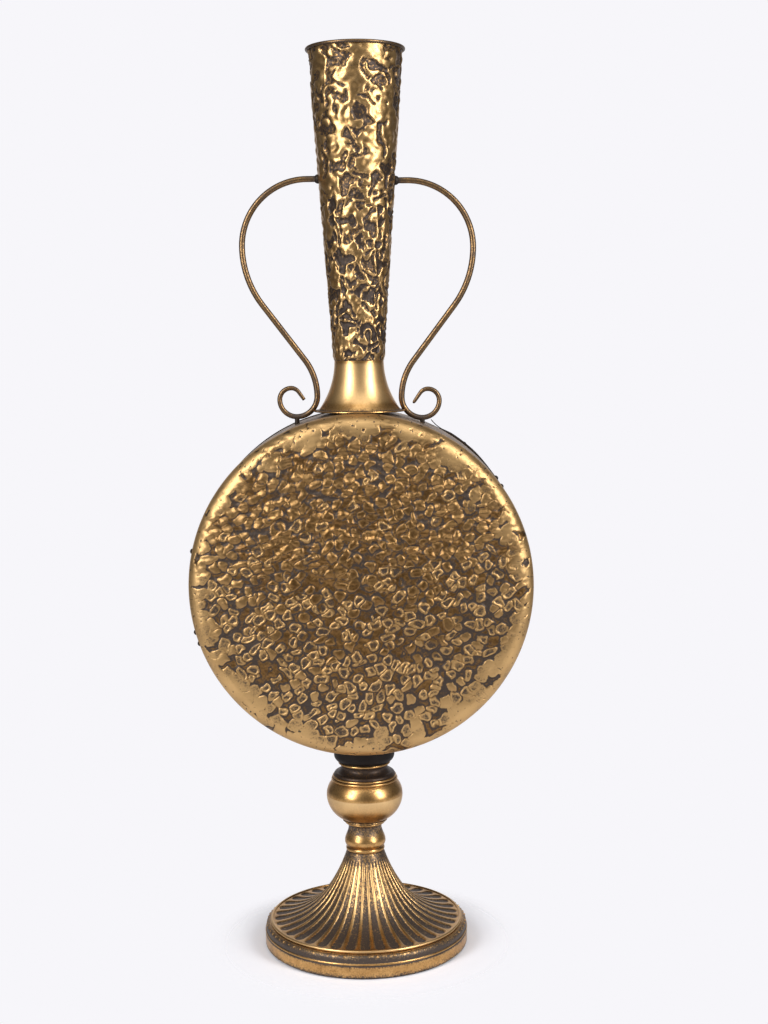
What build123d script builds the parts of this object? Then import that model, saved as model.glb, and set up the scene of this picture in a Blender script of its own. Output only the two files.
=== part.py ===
from build123d import *
from math import asin, cos, degrees, radians, sin, sqrt
import os

# Tall moon-flask vase on a turned pedestal foot, in millimetres, +Z up.
# The origin is the centre of the felt underside; the flask is a drum whose axis lies along Y.

# Fits
fit_gap = 0.1  # between nested sheet pieces
rod_gap = 0.2  # radial gap round the tie rod
weld_gap = 0.3  # from a rod's end to the sheet it is brazed to
saddle_gap = 0.3  # under the curved plate in the flask

# Sheet thicknesses
plinth_wall = 2.0
foot_wall = 2.2
bulb_wall = 1.4
flask_wall = 1.0
collar_wall = 1.2
neck_wall = 1.0

# Felt pad and plinth ring
pad_t = 1.6
pad_inset = 2.5
plinth_overhang = 5.3  # plinth's outer wall beyond the foot's rim bead
plinth_band_h = 12.4
plinth_bead_h = 2.2
plinth_step = 0.8  # shoulder set back from the band
plinth_shoulder_h = 3.2
plinth_shoulder_r = 4.5
plinth_ledge_w = 12.0
plinth_flange_w = 16.0
plinth_relief = 2.5  # bevel inside the shoulder

# Fluted trumpet foot, a flare of two arcs measured by their slope from vertical
foot_top_r = 19.0
foot_top_deg = 18.0
foot_mid_deg = 35.0
foot_upper_r = 156.0
foot_lower_r = 69.0
foot_rim_flat = 1.0
foot_bead_r = 1.6
foot_cap_t = 2.5
flute_count = 38
flute_share = 0.68  # groove's share of the pitch
flute_depth = 0.9
flute_start_deg = 22.0
flute_end_deg = 85.0

# Turned stem, from the foot up
knop_bead_h = 4.2
knop_bead_r = 19.8
knop_h = 24.4
knop_foot_r = 18.4
knop_belly_r = 20.9
knop_belly_h = 6.2
knop_neck_r = 16.9
knop_neck_h = 20.0
knop_top_r = 18.2
cup_bead_r = 20.6
cup_bead_h = 2.6
cup_ring_r = 23.0
cup_ring_h = 2.2
cup_lip_h = 1.3
bulb_bottom_r = 24.8
bulb_r = 38.9
bulb_top_r = 32.5
bulb_lower_h = 24.4
bulb_upper_h = 15.0
collar_bead_h = 2.7  # each of the two beads above the bulb
spool_shoulder_r = 31.3
spool_shoulder_h = 3.2
spool_cove_r = 23.8
spool_cove_h = 8.2
spool_h = 11.5
spool_top_r = 25.4
saucer_bead_h = 2.6
saucer_bead_r = 26.6
saucer_bottom_r = 25.8
saucer_r = 30.9
saucer_curve_h = 7.0
saucer_h = 19.2  # up to the lowest line of the flask

# Tie rod with its nuts
rod_r = 4.0
rod_end = 4.0  # thread standing past each nut
nut_flats = 13.0
nut_h = 6.5
washer_r = 12.0
washer_t = 1.6
saddle_r = 20.0
saddle_t = 3.0

# Flask
flask_r = 168.8
flask_edge_r = 15.0
flask_crown = 5.0
flask_skirt = 8.0
flask_lip_h = 3.0  # height of the joggled rim behind the edge
swell_count = 14  # broad swellings pressed into each face
swell_field = 0.79  # outermost swelling's centre, as a share of the face's radius
swell_r = 28.0
swell_h = 1.3
swell_sink = 0.5  # of each swelling's cap, into the face it stands on
golden_deg = 137.508  # turn from each swelling to the next
throat_margin = 0.7
strap_room = 4.5  # half the strap with its clearance to the collar flange
strap_w = 8.0
strap_t = 0.8
strap_lap_deg = 30.0  # from the top, where the sprung end leaves the flask
strap_tail_len = 15.0
strap_tail_bend_r = 40.0
strap_split_deg = 5.0
dab_r = 3.0
dab_h = 1.8
strap_dab_degs = (39.0, 55.5, 59.0)  # clockwise from the top
front_dab_degs = (-77.4, -105.0, -109.0)  # those on the front seam

# Collar and neck
flange_w = 4.5
flange_t = 1.6
collar_top_r = 24.5
collar_flare_r = 82.0
collar_turn_deg = 37.0
spigot_h = 12.0
neck_lap = 0.5  # neck standing out over the collar
neck_h = 300.9
neck_top_r = 46.1
mouth_tube_r = 1.6
mouth_offset = 1.1  # tube's centre outside the neck's edge
mouth_drop = 0.6

# Handles
handle_rod_r = 3.0
handle_scroll_r = 2.3
handle_crest_r = 1.9
handle_tip_r = 1.0
scroll_x = 62.5
handle_top_r = 65.0
handle_side_r = 95.0
handle_tilt_deg = 37.0
handle_run = 67.6
handle_waist_r = 60.0
scroll_in_r = 20.5
scroll_out_r = 17.0
scroll_crest_r = 11.5
scroll_curl_r = 9.0
scroll_curl_deg = 55.0
scroll_tip_run = 9.7
left_scroll_lift = 5.0  # from the flask to the underside of the scroll
right_scroll_lift = 2.8
weld_r = 4.6
peg_r = 2.4
peg_grip = 1.0  # height of the peg round the scroll's underside

# Heights, stacked from the floor
plinth_z = pad_t
plinth_band_z = plinth_z + plinth_band_h
plinth_bead_z = plinth_band_z + plinth_bead_h
plinth_shoulder_z = plinth_bead_z + plinth_shoulder_h
plinth_top_z = plinth_shoulder_z + plinth_shoulder_r
foot_rim_z = plinth_top_z + foot_wall
foot_upper_drop = foot_upper_r * (sin(radians(foot_mid_deg)) - sin(radians(foot_top_deg)))
foot_lower_drop = foot_lower_r * (1 - sin(radians(foot_mid_deg)))
foot_top_z = foot_rim_z + foot_upper_drop + foot_lower_drop
knop_z = foot_top_z + knop_bead_h
cup_z = knop_z + knop_h
bulb_z = cup_z + cup_bead_h + cup_ring_h + cup_lip_h
bulb_mid_z = bulb_z + bulb_lower_h
rings_z = bulb_mid_z + bulb_upper_h
spool_z = rings_z + 2 * collar_bead_h
saucer_bead_z = spool_z + spool_h
saucer_z = saucer_bead_z + saucer_bead_h
flask_bottom_z = saucer_z + saucer_h
flask_z = flask_bottom_z + flask_r
flask_top_z = flask_z + flask_r
collar_flare_z = flask_top_z + flange_t
collar_top_z = collar_flare_z + collar_flare_r * sin(radians(collar_turn_deg))
neck_top_z = collar_top_z + neck_h

# Radii that follow from the pieces they meet
foot_mid_r = foot_top_r + foot_upper_r * (cos(radians(foot_top_deg)) - cos(radians(foot_mid_deg)))
foot_flare_r = foot_mid_r + foot_lower_r * cos(radians(foot_mid_deg))
foot_rim_r = foot_flare_r + foot_rim_flat
plinth_r = foot_rim_r + foot_bead_r + plinth_overhang
collar_foot_r = collar_top_r + collar_flare_r * (1 - cos(radians(collar_turn_deg)))
flange_r = collar_foot_r + flange_w
band_half = flange_r + strap_room
neck_foot_r = collar_top_r + neck_lap
spigot_r = neck_foot_r - neck_wall - fit_gap
throat_r = spigot_r - collar_wall - throat_margin
rod_hole_r = rod_r + rod_gap
flask_axis = Axis((0, 0, flask_z), (0, 1, 0))
flask_plane = Plane((0, 0, flask_z), x_dir=(1, 0, 0), z_dir=(0, -1, 0))

os.makedirs("parts", exist_ok=True)


# Writes one finished piece under its node name.
def save(piece, name):
    piece.part.label = name
    export_step(piece.part, f"parts/{name}.step")


# A point of the foot's outer face where it slopes this far from vertical, moved off it by lift.
def foot_point(slope, lift=0.0):
    turn = radians(slope)
    mid = radians(foot_mid_deg)
    if slope < foot_mid_deg:
        r = foot_mid_r - foot_upper_r * (cos(turn) - cos(mid))
        z = foot_rim_z + foot_lower_drop + foot_upper_r * (sin(mid) - sin(turn))
    else:
        r = foot_flare_r - foot_lower_r * cos(turn)
        z = foot_rim_z + foot_lower_r * (1 - sin(turn))
    return (r + lift * cos(turn), z + lift * sin(turn))


# The foot's flare between two slopes as two tangent arcs, drawn in the open line.
def foot_curve(from_slope, to_slope, lift):
    upper_mid = (from_slope + foot_mid_deg) / 2
    lower_mid = (foot_mid_deg + to_slope) / 2
    joint = foot_point(foot_mid_deg, lift)
    ThreePointArc(foot_point(from_slope, lift), foot_point(upper_mid, lift), joint)
    ThreePointArc(joint, foot_point(lower_mid, lift), foot_point(to_slope, lift))


# A point of the collar's flare where it slopes this far from vertical, moved off it by lift.
def collar_point(slope, lift=0.0):
    turn = radians(slope)
    r = collar_top_r + collar_flare_r * (1 - cos(turn))
    z = collar_top_z - collar_flare_r * sin(turn)
    return (r + lift * cos(turn), z + lift * sin(turn))


# Outer radius of the conical neck at a height.
def neck_r_at(z):
    return neck_foot_r + (neck_top_r - neck_foot_r) * (z - collar_top_z) / neck_h


# A half-round bead on an upright face, drawn in the open line.
def half_round(face_r, bottom_z, height):
    crest = (face_r + height / 2, bottom_z + height / 2)
    ThreePointArc((face_r, bottom_z), crest, (face_r, bottom_z + height))


# Felt pad under the plinth
with BuildPart() as base_pad:
    with BuildSketch():
        Circle(plinth_r - pad_inset)
    extrude(amount=pad_t)
save(base_pad, "base_pad")

# Plinth ring: flat band, half-round bead, set-back shoulder and an inward ledge for the foot
shoulder_wall_r = plinth_r - plinth_step
ledge_in_r = foot_flare_r - plinth_ledge_w
inner_wall_r = shoulder_wall_r - plinth_wall
with BuildPart() as plinth_ring:
    with BuildSketch(Plane.XZ):
        with BuildLine():
            Polyline((plinth_r, plinth_z), (plinth_r, plinth_band_z), (shoulder_wall_r, plinth_band_z))
            half_round(shoulder_wall_r, plinth_band_z, plinth_bead_h)
            Line((shoulder_wall_r, plinth_bead_z), (shoulder_wall_r, plinth_shoulder_z))
            shoulder = JernArc((shoulder_wall_r, plinth_shoulder_z), (0, 1), plinth_shoulder_r, 90)
            Polyline(
                shoulder @ 1,
                (ledge_in_r, plinth_top_z),
                (ledge_in_r, plinth_top_z - plinth_wall),
                (inner_wall_r - plinth_relief, plinth_top_z - plinth_wall),
                (inner_wall_r, plinth_top_z - plinth_wall - plinth_relief),
                (inner_wall_r, plinth_z + plinth_wall),
                (plinth_r - plinth_flange_w, plinth_z + plinth_wall),
                (plinth_r - plinth_flange_w, plinth_z),
                (plinth_r, plinth_z),
            )
        make_face()
    revolve(axis=Axis.Z)
save(plinth_ring, "plinth_ring")

# One flute: the strip between the foot's face and the groove's floor, turned through the groove's arc
flute_deg = flute_share * 360 / flute_count
with BuildPart() as flute:
    with BuildSketch(Plane.XZ):
        with BuildLine():
            foot_curve(flute_start_deg, flute_end_deg, foot_wall)
            foot_curve(flute_start_deg, flute_end_deg, -flute_depth)
            Line(foot_point(flute_start_deg, foot_wall), foot_point(flute_start_deg, -flute_depth))
            Line(foot_point(flute_end_deg, foot_wall), foot_point(flute_end_deg, -flute_depth))
        make_face()
    revolve(axis=Axis.Z, revolution_arc=flute_deg)

# Trumpet foot: flared sheet with a beaded rim and a flat cap for the tie rod, fluted all round
with BuildPart() as fluted_foot:
    with BuildSketch(Plane.XZ):
        with BuildLine():
            foot_curve(foot_top_deg, 90, 0)
            foot_curve(foot_top_deg, 90, -foot_wall)
            Line(foot_point(foot_top_deg), foot_point(foot_top_deg, -foot_wall))
            Polyline(
                (foot_flare_r, foot_rim_z),
                (foot_rim_r, foot_rim_z),
                (foot_rim_r, plinth_top_z + foot_wall / 2),
                (foot_flare_r, plinth_top_z),
            )
        make_face()
        with Locations((foot_rim_r, plinth_top_z + foot_bead_r)):
            Circle(foot_bead_r)
        with Locations((rod_hole_r, foot_top_z - foot_cap_t)):
            Rectangle(foot_top_r - foot_wall / 2 - rod_hole_r, foot_cap_t, align=(Align.MIN, Align.MIN))
    revolve(axis=Axis.Z)
    with PolarLocations(0, flute_count):
        add(flute.part, mode=Mode.SUBTRACT)
save(fluted_foot, "fluted_foot")


# Turned ring whose outer face is one round bead.
def turned_bead(bottom_z, height, neck_r, bead_r):
    with BuildPart() as ring:
        with BuildSketch(Plane.XZ):
            with BuildLine():
                top_z = bottom_z + height
                ThreePointArc((neck_r, bottom_z), (bead_r, bottom_z + height / 2), (neck_r, top_z))
                Polyline((neck_r, top_z), (rod_hole_r, top_z), (rod_hole_r, bottom_z), (neck_r, bottom_z))
            make_face()
        revolve(axis=Axis.Z)
    return ring


knop_bead = turned_bead(foot_top_z, knop_bead_h, knop_foot_r, knop_bead_r)
save(knop_bead, "knop_bead")
saucer_bead = turned_bead(saucer_bead_z, saucer_bead_h, spool_top_r, saucer_bead_r)
save(saucer_bead, "saucer_bead")

# Knop: round belly drawn in to a short neck
with BuildPart() as stem_knop:
    with BuildSketch(Plane.XZ):
        with BuildLine():
            Spline(
                (knop_foot_r, knop_z),
                (knop_belly_r, knop_z + knop_belly_h),
                (knop_neck_r, knop_z + knop_neck_h),
                (knop_top_r, cup_z),
            )
            Polyline((knop_top_r, cup_z), (rod_hole_r, cup_z), (rod_hole_r, knop_z), (knop_foot_r, knop_z))
        make_face()
    revolve(axis=Axis.Z)
save(stem_knop, "stem_knop")

# Cup under the bulb: a bead, a ring and a lip, each wider than the last
cup_ring_z = cup_z + cup_bead_h
cup_lip_z = cup_ring_z + cup_ring_h
cup_bead_face_r = cup_bead_r - cup_bead_h / 2
cup_ring_face_r = cup_ring_r - cup_ring_h / 2
with BuildPart() as bulb_cup:
    with BuildSketch(Plane.XZ):
        with BuildLine():
            half_round(cup_bead_face_r, cup_z, cup_bead_h)
            Line((cup_bead_face_r, cup_ring_z), (cup_ring_face_r, cup_ring_z))
            half_round(cup_ring_face_r, cup_ring_z, cup_ring_h)
            Polyline(
                (cup_ring_face_r, cup_lip_z),
                (bulb_bottom_r, bulb_z),
                (rod_hole_r, bulb_z),
                (rod_hole_r, cup_z),
                (cup_bead_face_r, cup_z),
            )
        make_face()
    revolve(axis=Axis.Z)
save(bulb_cup, "bulb_cup")

# Bulb: hollow spun shell of two arcs that meet upright at its widest line
with BuildPart() as stem_bulb:
    with BuildSketch(Plane.XZ):
        with BuildLine():
            upper = TangentArc((bulb_r, bulb_mid_z), (bulb_top_r, rings_z), tangent=(0, 1))
            lower = TangentArc((bulb_r, bulb_mid_z), (bulb_bottom_r, bulb_z), tangent=(0, -1))
            Polyline(upper @ 1, (rod_hole_r, rings_z), (rod_hole_r, bulb_z), lower @ 1)
        make_face()
        with BuildLine():
            inner_r = bulb_r - bulb_wall
            in_upper = TangentArc(
                (inner_r, bulb_mid_z), (bulb_top_r - bulb_wall, rings_z - bulb_wall), tangent=(0, 1)
            )
            in_lower = TangentArc(
                (inner_r, bulb_mid_z), (bulb_bottom_r - bulb_wall, bulb_z + bulb_wall), tangent=(0, -1)
            )
            sleeve_r = rod_hole_r + bulb_wall
            Polyline(
                in_upper @ 1, (sleeve_r, rings_z - bulb_wall), (sleeve_r, bulb_z + bulb_wall), in_lower @ 1
            )
        make_face(mode=Mode.SUBTRACT)
    revolve(axis=Axis.Z)
save(stem_bulb, "stem_bulb")

# Two beads above the bulb, turned as one collar
upper_ring_z = rings_z + collar_bead_h
with BuildPart() as bulb_collar:
    with BuildSketch(Plane.XZ):
        with BuildLine():
            half_round(bulb_top_r, rings_z, collar_bead_h)
            Line((bulb_top_r, upper_ring_z), (spool_shoulder_r, upper_ring_z))
            half_round(spool_shoulder_r, upper_ring_z, collar_bead_h)
            Polyline(
                (spool_shoulder_r, spool_z),
                (rod_hole_r, spool_z),
                (rod_hole_r, rings_z),
                (bulb_top_r, rings_z),
            )
        make_face()
    revolve(axis=Axis.Z)
save(bulb_collar, "bulb_collar")

# Spool: rounded shoulder below a deep cove
spool_neck_r = (spool_shoulder_r + spool_cove_r) / 2
with BuildPart() as upper_spool:
    with BuildSketch(Plane.XZ):
        with BuildLine():
            TangentArc(
                (spool_shoulder_r, spool_z), (spool_neck_r, spool_z + spool_shoulder_h), tangent=(0, 1)
            )
            ThreePointArc(
                (spool_neck_r, spool_z + spool_shoulder_h),
                (spool_cove_r, spool_z + spool_cove_h),
                (spool_top_r, saucer_bead_z),
            )
            Polyline(
                (spool_top_r, saucer_bead_z),
                (rod_hole_r, saucer_bead_z),
                (rod_hole_r, spool_z),
                (spool_shoulder_r, spool_z),
            )
        make_face()
    revolve(axis=Axis.Z)
save(upper_spool, "upper_spool")

# Saucer: cupped seat, its top cut to the round of the flask
with BuildPart() as stem_saucer:
    with BuildSketch(Plane.XZ):
        with BuildLine():
            TangentArc((saucer_r, saucer_z + saucer_curve_h), (saucer_bottom_r, saucer_z), tangent=(0, -1))
            Polyline(
                (saucer_bottom_r, saucer_z),
                (rod_hole_r, saucer_z),
                (rod_hole_r, flask_bottom_z + saucer_h),
                (saucer_r, flask_bottom_z + saucer_h),
                (saucer_r, saucer_z + saucer_curve_h),
            )
        make_face()
    revolve(axis=Axis.Z)
    with BuildSketch(flask_plane):
        Circle(flask_r)
    extrude(amount=flask_r, both=True, mode=Mode.SUBTRACT)
save(stem_saucer, "stem_saucer")

# Tie rod through the stem, from inside the foot to inside the flask
washer_z = foot_top_z - foot_cap_t - washer_t
lower_nut_z = washer_z - nut_h
upper_nut_z = flask_bottom_z + flask_wall + saddle_t
rod_bottom_z = lower_nut_z - rod_end
rod_top_z = upper_nut_z + nut_h + rod_end
with BuildPart() as tie_rod:
    with BuildSketch(Plane.XY.offset(rod_bottom_z)):
        Circle(rod_r)
    extrude(amount=rod_top_z - rod_bottom_z)
    chamfer(tie_rod.edges().filter_by(GeomType.CIRCLE), length=rod_r / 5)
save(tie_rod, "tie_rod")


# Hexagon nut standing on a height.
def hex_nut(bottom_z):
    with BuildPart() as nut:
        with BuildSketch(Plane.XY.offset(bottom_z)):
            RegularPolygon(nut_flats / 2, 6, major_radius=False)
            Circle(rod_hole_r, mode=Mode.SUBTRACT)
        extrude(amount=nut_h)
    return nut


upper_nut = hex_nut(upper_nut_z)
save(upper_nut, "upper_nut")
lower_nut = hex_nut(lower_nut_z)
save(lower_nut, "lower_nut")

with BuildPart() as lower_washer:
    with BuildSketch(Plane.XY.offset(washer_z)):
        Circle(washer_r)
        Circle(rod_hole_r, mode=Mode.SUBTRACT)
    extrude(amount=washer_t)
save(lower_washer, "lower_washer")

# Saddle plate inside the flask: flat above for the nut, rounded below to lie in the band
with BuildPart() as saddle_plate:
    with BuildSketch(Plane.XY.offset(flask_bottom_z)):
        Circle(saddle_r)
        Circle(rod_hole_r, mode=Mode.SUBTRACT)
    extrude(amount=flask_wall + saddle_t)
    with BuildSketch(flask_plane):
        Circle(flask_r - flask_wall - saddle_gap)
    extrude(amount=flask_r, both=True, mode=Mode.INTERSECT)
save(saddle_plate, "saddle_plate")

# Side band with the throat hole at its top and the rod hole at its bottom
with BuildPart() as side_band:
    with BuildSketch(flask_plane):
        Circle(flask_r)
        Circle(flask_r - flask_wall, mode=Mode.SUBTRACT)
    extrude(amount=band_half, both=True)
    with BuildSketch(Plane.XY.offset(flask_z)):
        Circle(throat_r)
    extrude(amount=2 * flask_r, mode=Mode.SUBTRACT)
    with BuildSketch(Plane.XY.offset(flask_z)):
        Circle(rod_hole_r)
    extrude(amount=-2 * flask_r, mode=Mode.SUBTRACT)
save(side_band, "side_band")

# One swelling: a low round cap, sunk a little below the face
cap_sphere_r = (swell_r**2 + swell_h**2) / (2 * swell_h)
cap_h = swell_h + swell_sink
cap_base_r = sqrt(2 * cap_sphere_r * cap_h - cap_h**2)
with BuildPart() as swelling:
    with BuildSketch(Plane.XZ):
        with BuildLine():
            TangentArc((0, swell_h), (cap_base_r, -swell_sink), tangent=(1, 0))
            Polyline((cap_base_r, -swell_sink), (0, -swell_sink), (0, swell_h))
        make_face()
    revolve(axis=Axis.Z)

# Front pan: crowned face with its swellings, rounded edge flush with the band, and a joggled skirt inside it
edge_y = -band_half - flask_edge_r
inner_y = edge_y + flask_wall
face_r = flask_r - flask_edge_r
skirt_out_r = flask_r - flask_wall - fit_gap
skirt_in_r = skirt_out_r - flask_wall
lip_r = flask_r - flask_wall / 2
crown_r = (face_r**2 + flask_crown**2) / (2 * flask_crown)
crown_centre = Vector(0, edge_y - flask_crown + crown_r, flask_z)
with BuildPart() as front_face:
    with BuildSketch(Plane.XY.offset(flask_z)):
        with BuildLine():
            TangentArc((0, edge_y - flask_crown), (face_r, edge_y), tangent=(1, 0))
            JernArc((face_r, edge_y), (1, 0), flask_edge_r, 90)
            Line((flask_r, -band_half), (flask_r - flask_wall, -band_half))
            JernArc((flask_r - flask_wall, -band_half), (0, -1), flask_edge_r - flask_wall, -90)
            TangentArc((0, inner_y - flask_crown), (face_r, inner_y), tangent=(1, 0))
            Line((0, inner_y - flask_crown), (0, edge_y - flask_crown))
        make_face()
        with Locations((lip_r, -band_half)):
            Rectangle(lip_r - skirt_in_r, flask_lip_h, align=(Align.MAX, Align.MAX))
        with Locations((skirt_out_r, -band_half)):
            Rectangle(skirt_out_r - skirt_in_r, flask_skirt, align=(Align.MAX, Align.MIN))
    revolve(axis=flask_axis)
    for number in range(swell_count):
        spread = sqrt((number + 0.5) / (swell_count - 0.5)) * swell_field * face_r / crown_r
        turn = radians(number * golden_deg)
        outward = Vector(spread * cos(turn), -sqrt(1 - spread**2), spread * sin(turn))
        with Locations(Plane(crown_centre + outward * crown_r, z_dir=outward)):
            add(swelling.part)
save(front_face, "front_face")

# Rear pan, the front one turned about
with BuildPart() as back_face:
    add(front_face.part)
    mirror(about=Plane.XZ, mode=Mode.REPLACE)
save(back_face, "back_face")

# Strap over the rear seam: an open hoop whose upper end has sprung away from the flask
strap_mid_r = flask_r + strap_t / 2
lap = radians(strap_lap_deg)
tail_start = (strap_mid_r * sin(lap), strap_mid_r * cos(lap))
tail_heading = (-cos(lap), sin(lap))
tail_deg = degrees(strap_tail_len / strap_tail_bend_r)
with BuildPart() as seam_strap:
    with BuildSketch(flask_plane.offset(-band_half - strap_w / 2)):
        with BuildLine():
            CenterArc((0, 0), strap_mid_r, 90 - strap_lap_deg, strap_lap_deg - strap_split_deg - 360)
            JernArc(tail_start, tail_heading, strap_tail_bend_r, -tail_deg)
            offset(amount=strap_t / 2)
        make_face()
    extrude(amount=strap_w)
save(seam_strap, "seam_strap")

# Solder dabs, caps of one ball: some on the strap, some on the front seam
cap_deg = degrees(asin(1 - dab_h / dab_r))  # latitude of the cap's flat side
with BuildPart() as seam_dabs:
    for seam_y, seat_r, dab_degs in (
        (band_half, flask_r + strap_t, strap_dab_degs),
        (-band_half, flask_r, front_dab_degs),
    ):
        for dab_deg in dab_degs:
            outward = Vector(sin(radians(dab_deg)), 0, cos(radians(dab_deg)))
            seat = outward * seat_r + Vector(0, seam_y, flask_z)
            with Locations(Plane(seat, z_dir=outward)):
                Sphere(dab_r, arc_size1=cap_deg, align=(Align.CENTER, Align.CENTER, Align.MIN))
save(seam_dabs, "seam_dabs")

# Heights along a handle, from the underside of its scroll
tilt = radians(handle_tilt_deg)
handle_rise = (
    handle_top_r
    + handle_side_r * sin(tilt)
    + handle_run * cos(tilt)
    + handle_waist_r * sin(tilt)
    + scroll_in_r
)
handle_reach = (
    scroll_x
    - scroll_in_r
    + handle_waist_r * (1 - cos(tilt))
    + handle_run * sin(tilt)
    + handle_side_r * (1 - cos(tilt))
)
scroll_seat_z = flask_z + sqrt(flask_r**2 - scroll_x**2)


# Height of a handle's rod centre at the neck.
def handle_top_z(lift):
    return scroll_seat_z + lift + handle_scroll_r + handle_rise


# The upright plane of one handle, with its own X pointing away from the neck.
def handle_plane(side):
    return Plane((0, 0, 0), x_dir=(side, 0, 0), z_dir=(0, -side, 0))


# Handle: one bent rod of tangent arcs, drawn thinner along the scroll to its tip.
def bent_handle(side, lift):
    top_z = handle_top_z(lift)
    with BuildPart() as handle:
        with BuildLine(handle_plane(side)):
            run_out = Line((neck_r_at(top_z) + weld_gap, top_z), (handle_reach - handle_top_r, top_z))
            shoulder = JernArc(run_out @ 1, run_out % 1, handle_top_r, -90)
            flank = JernArc(shoulder @ 1, shoulder % 1, handle_side_r, -handle_tilt_deg)
            run_in = PolarLine(flank @ 1, handle_run, direction=flank % 1)
            waist = JernArc(run_in @ 1, run_in % 1, handle_waist_r, handle_tilt_deg)
        with BuildSketch(Plane(run_out @ 0, z_dir=run_out % 0)):
            Circle(handle_rod_r)
        sweep()
        with BuildLine(handle_plane(side)) as scroll:
            inward = JernArc(waist @ 1, waist % 1, scroll_in_r, 90)
            outward = JernArc(inward @ 1, inward % 1, scroll_out_r, 90)
            crest = JernArc(outward @ 1, outward % 1, scroll_crest_r, 90)
            curl = JernArc(crest @ 1, crest % 1, scroll_curl_r, scroll_curl_deg)
            tip = PolarLine(curl @ 1, scroll_tip_run, direction=curl % 1)
        with BuildSketch(Plane(inward @ 0, z_dir=inward % 0)):
            Circle(handle_rod_r)
        with BuildSketch(Plane(inward @ 1, z_dir=inward % 1)):
            Circle(handle_scroll_r)
        with BuildSketch(Plane(crest @ 1, z_dir=crest % 1)):
            Circle(handle_crest_r)
        with BuildSketch(Plane(tip @ 1, z_dir=tip % 1)):
            Circle(handle_tip_r)
        sweep(path=scroll.wire(), multisection=True)
    return handle


left_handle = bent_handle(-1, left_scroll_lift)
save(left_handle, "left_handle")
right_handle = bent_handle(1, right_scroll_lift)
save(right_handle, "right_handle")

# Collar: flat flange on the flask, one sweeping flare and a spigot up inside the neck.
# The flange's edge is notched where the two rods lie against it.
collar_toe = collar_point(collar_turn_deg, -collar_wall)
spigot_top_z = collar_top_z + spigot_h
with BuildPart() as neck_collar:
    with BuildSketch(Plane.XZ):
        with BuildLine():
            ThreePointArc(collar_point(0), collar_point(collar_turn_deg / 2), collar_point(collar_turn_deg))
            Polyline(
                (collar_foot_r, collar_flare_z),
                (flange_r, collar_flare_z),
                (flange_r, flask_top_z),
                (collar_toe[0], flask_top_z),
                collar_toe,
            )
            ThreePointArc(
                collar_toe,
                collar_point(collar_turn_deg / 2, -collar_wall),
                collar_point(0, -collar_wall),
            )
            Polyline(
                collar_point(0, -collar_wall),
                (spigot_r - collar_wall, collar_top_z),
                (spigot_r - collar_wall, spigot_top_z),
                (spigot_r, spigot_top_z),
                (spigot_r, collar_top_z),
                (collar_top_r, collar_top_z),
            )
        make_face()
    revolve(axis=Axis.Z)
    add(left_handle.part, mode=Mode.SUBTRACT)
    add(right_handle.part, mode=Mode.SUBTRACT)
save(neck_collar, "neck_collar")

# Neck: conical tube standing on the collar's step
with BuildPart() as neck_tube:
    with BuildSketch(Plane.XZ):
        with BuildLine():
            Polyline(
                (neck_foot_r, collar_top_z),
                (neck_top_r, neck_top_z),
                (neck_top_r - neck_wall, neck_top_z),
                (neck_foot_r - neck_wall, collar_top_z),
                close=True,
            )
        make_face()
    revolve(axis=Axis.Z)
save(neck_tube, "neck_tube")

# The neck as a solid cone, to shape what is brazed on to it
with BuildPart() as neck_core:
    with BuildSketch(Plane.XZ):
        with BuildLine():
            Polyline(
                (0, collar_top_z),
                (neck_foot_r, collar_top_z),
                (neck_top_r, neck_top_z),
                (0, neck_top_z),
                close=True,
            )
        make_face()
    revolve(axis=Axis.Z)

# Mouth ring: round wire bead seated on the outside of the neck's edge
with BuildPart() as mouth_ring:
    with BuildSketch(Plane.XZ):
        with Locations((neck_top_r + mouth_offset, neck_top_z - mouth_drop)):
            Circle(mouth_tube_r)
    revolve(axis=Axis.Z)
    add(neck_core.part, mode=Mode.SUBTRACT)
save(mouth_ring, "mouth_ring")

# Braze round each handle's end at the neck, and a braze peg under each scroll
handle_sides = ((-1, left_scroll_lift), (1, right_scroll_lift))
with BuildPart() as handle_neck_welds:
    for side, lift in handle_sides:
        weld_z = handle_top_z(lift)
        with Locations((side * (neck_r_at(weld_z) + weld_gap), 0, weld_z)):
            Sphere(weld_r)
    add(neck_core.part, mode=Mode.SUBTRACT)
    add(left_handle.part, mode=Mode.SUBTRACT)
    add(right_handle.part, mode=Mode.SUBTRACT)
save(handle_neck_welds, "handle_neck_welds")

with BuildPart() as scroll_welds:
    for side, lift in handle_sides:
        with BuildSketch(Plane((side * scroll_x, 0, scroll_seat_z - peg_r))):
            Circle(peg_r)
        extrude(amount=peg_r + lift + peg_grip)
    with BuildSketch(flask_plane):
        Circle(flask_r)
    extrude(amount=band_half, both=True, mode=Mode.SUBTRACT)
    add(left_handle.part, mode=Mode.SUBTRACT)
    add(right_handle.part, mode=Mode.SUBTRACT)
save(scroll_welds, "scroll_welds")
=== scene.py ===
import bpy
import numpy as np
from numpy import (
    append, arange, array, clip, concatenate, cos, exp, full, hstack, hypot, linspace, maximum,
    minimum, pi, radians, sin, sqrt, stack, vstack, where, zeros)
from mathutils import Matrix


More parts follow.
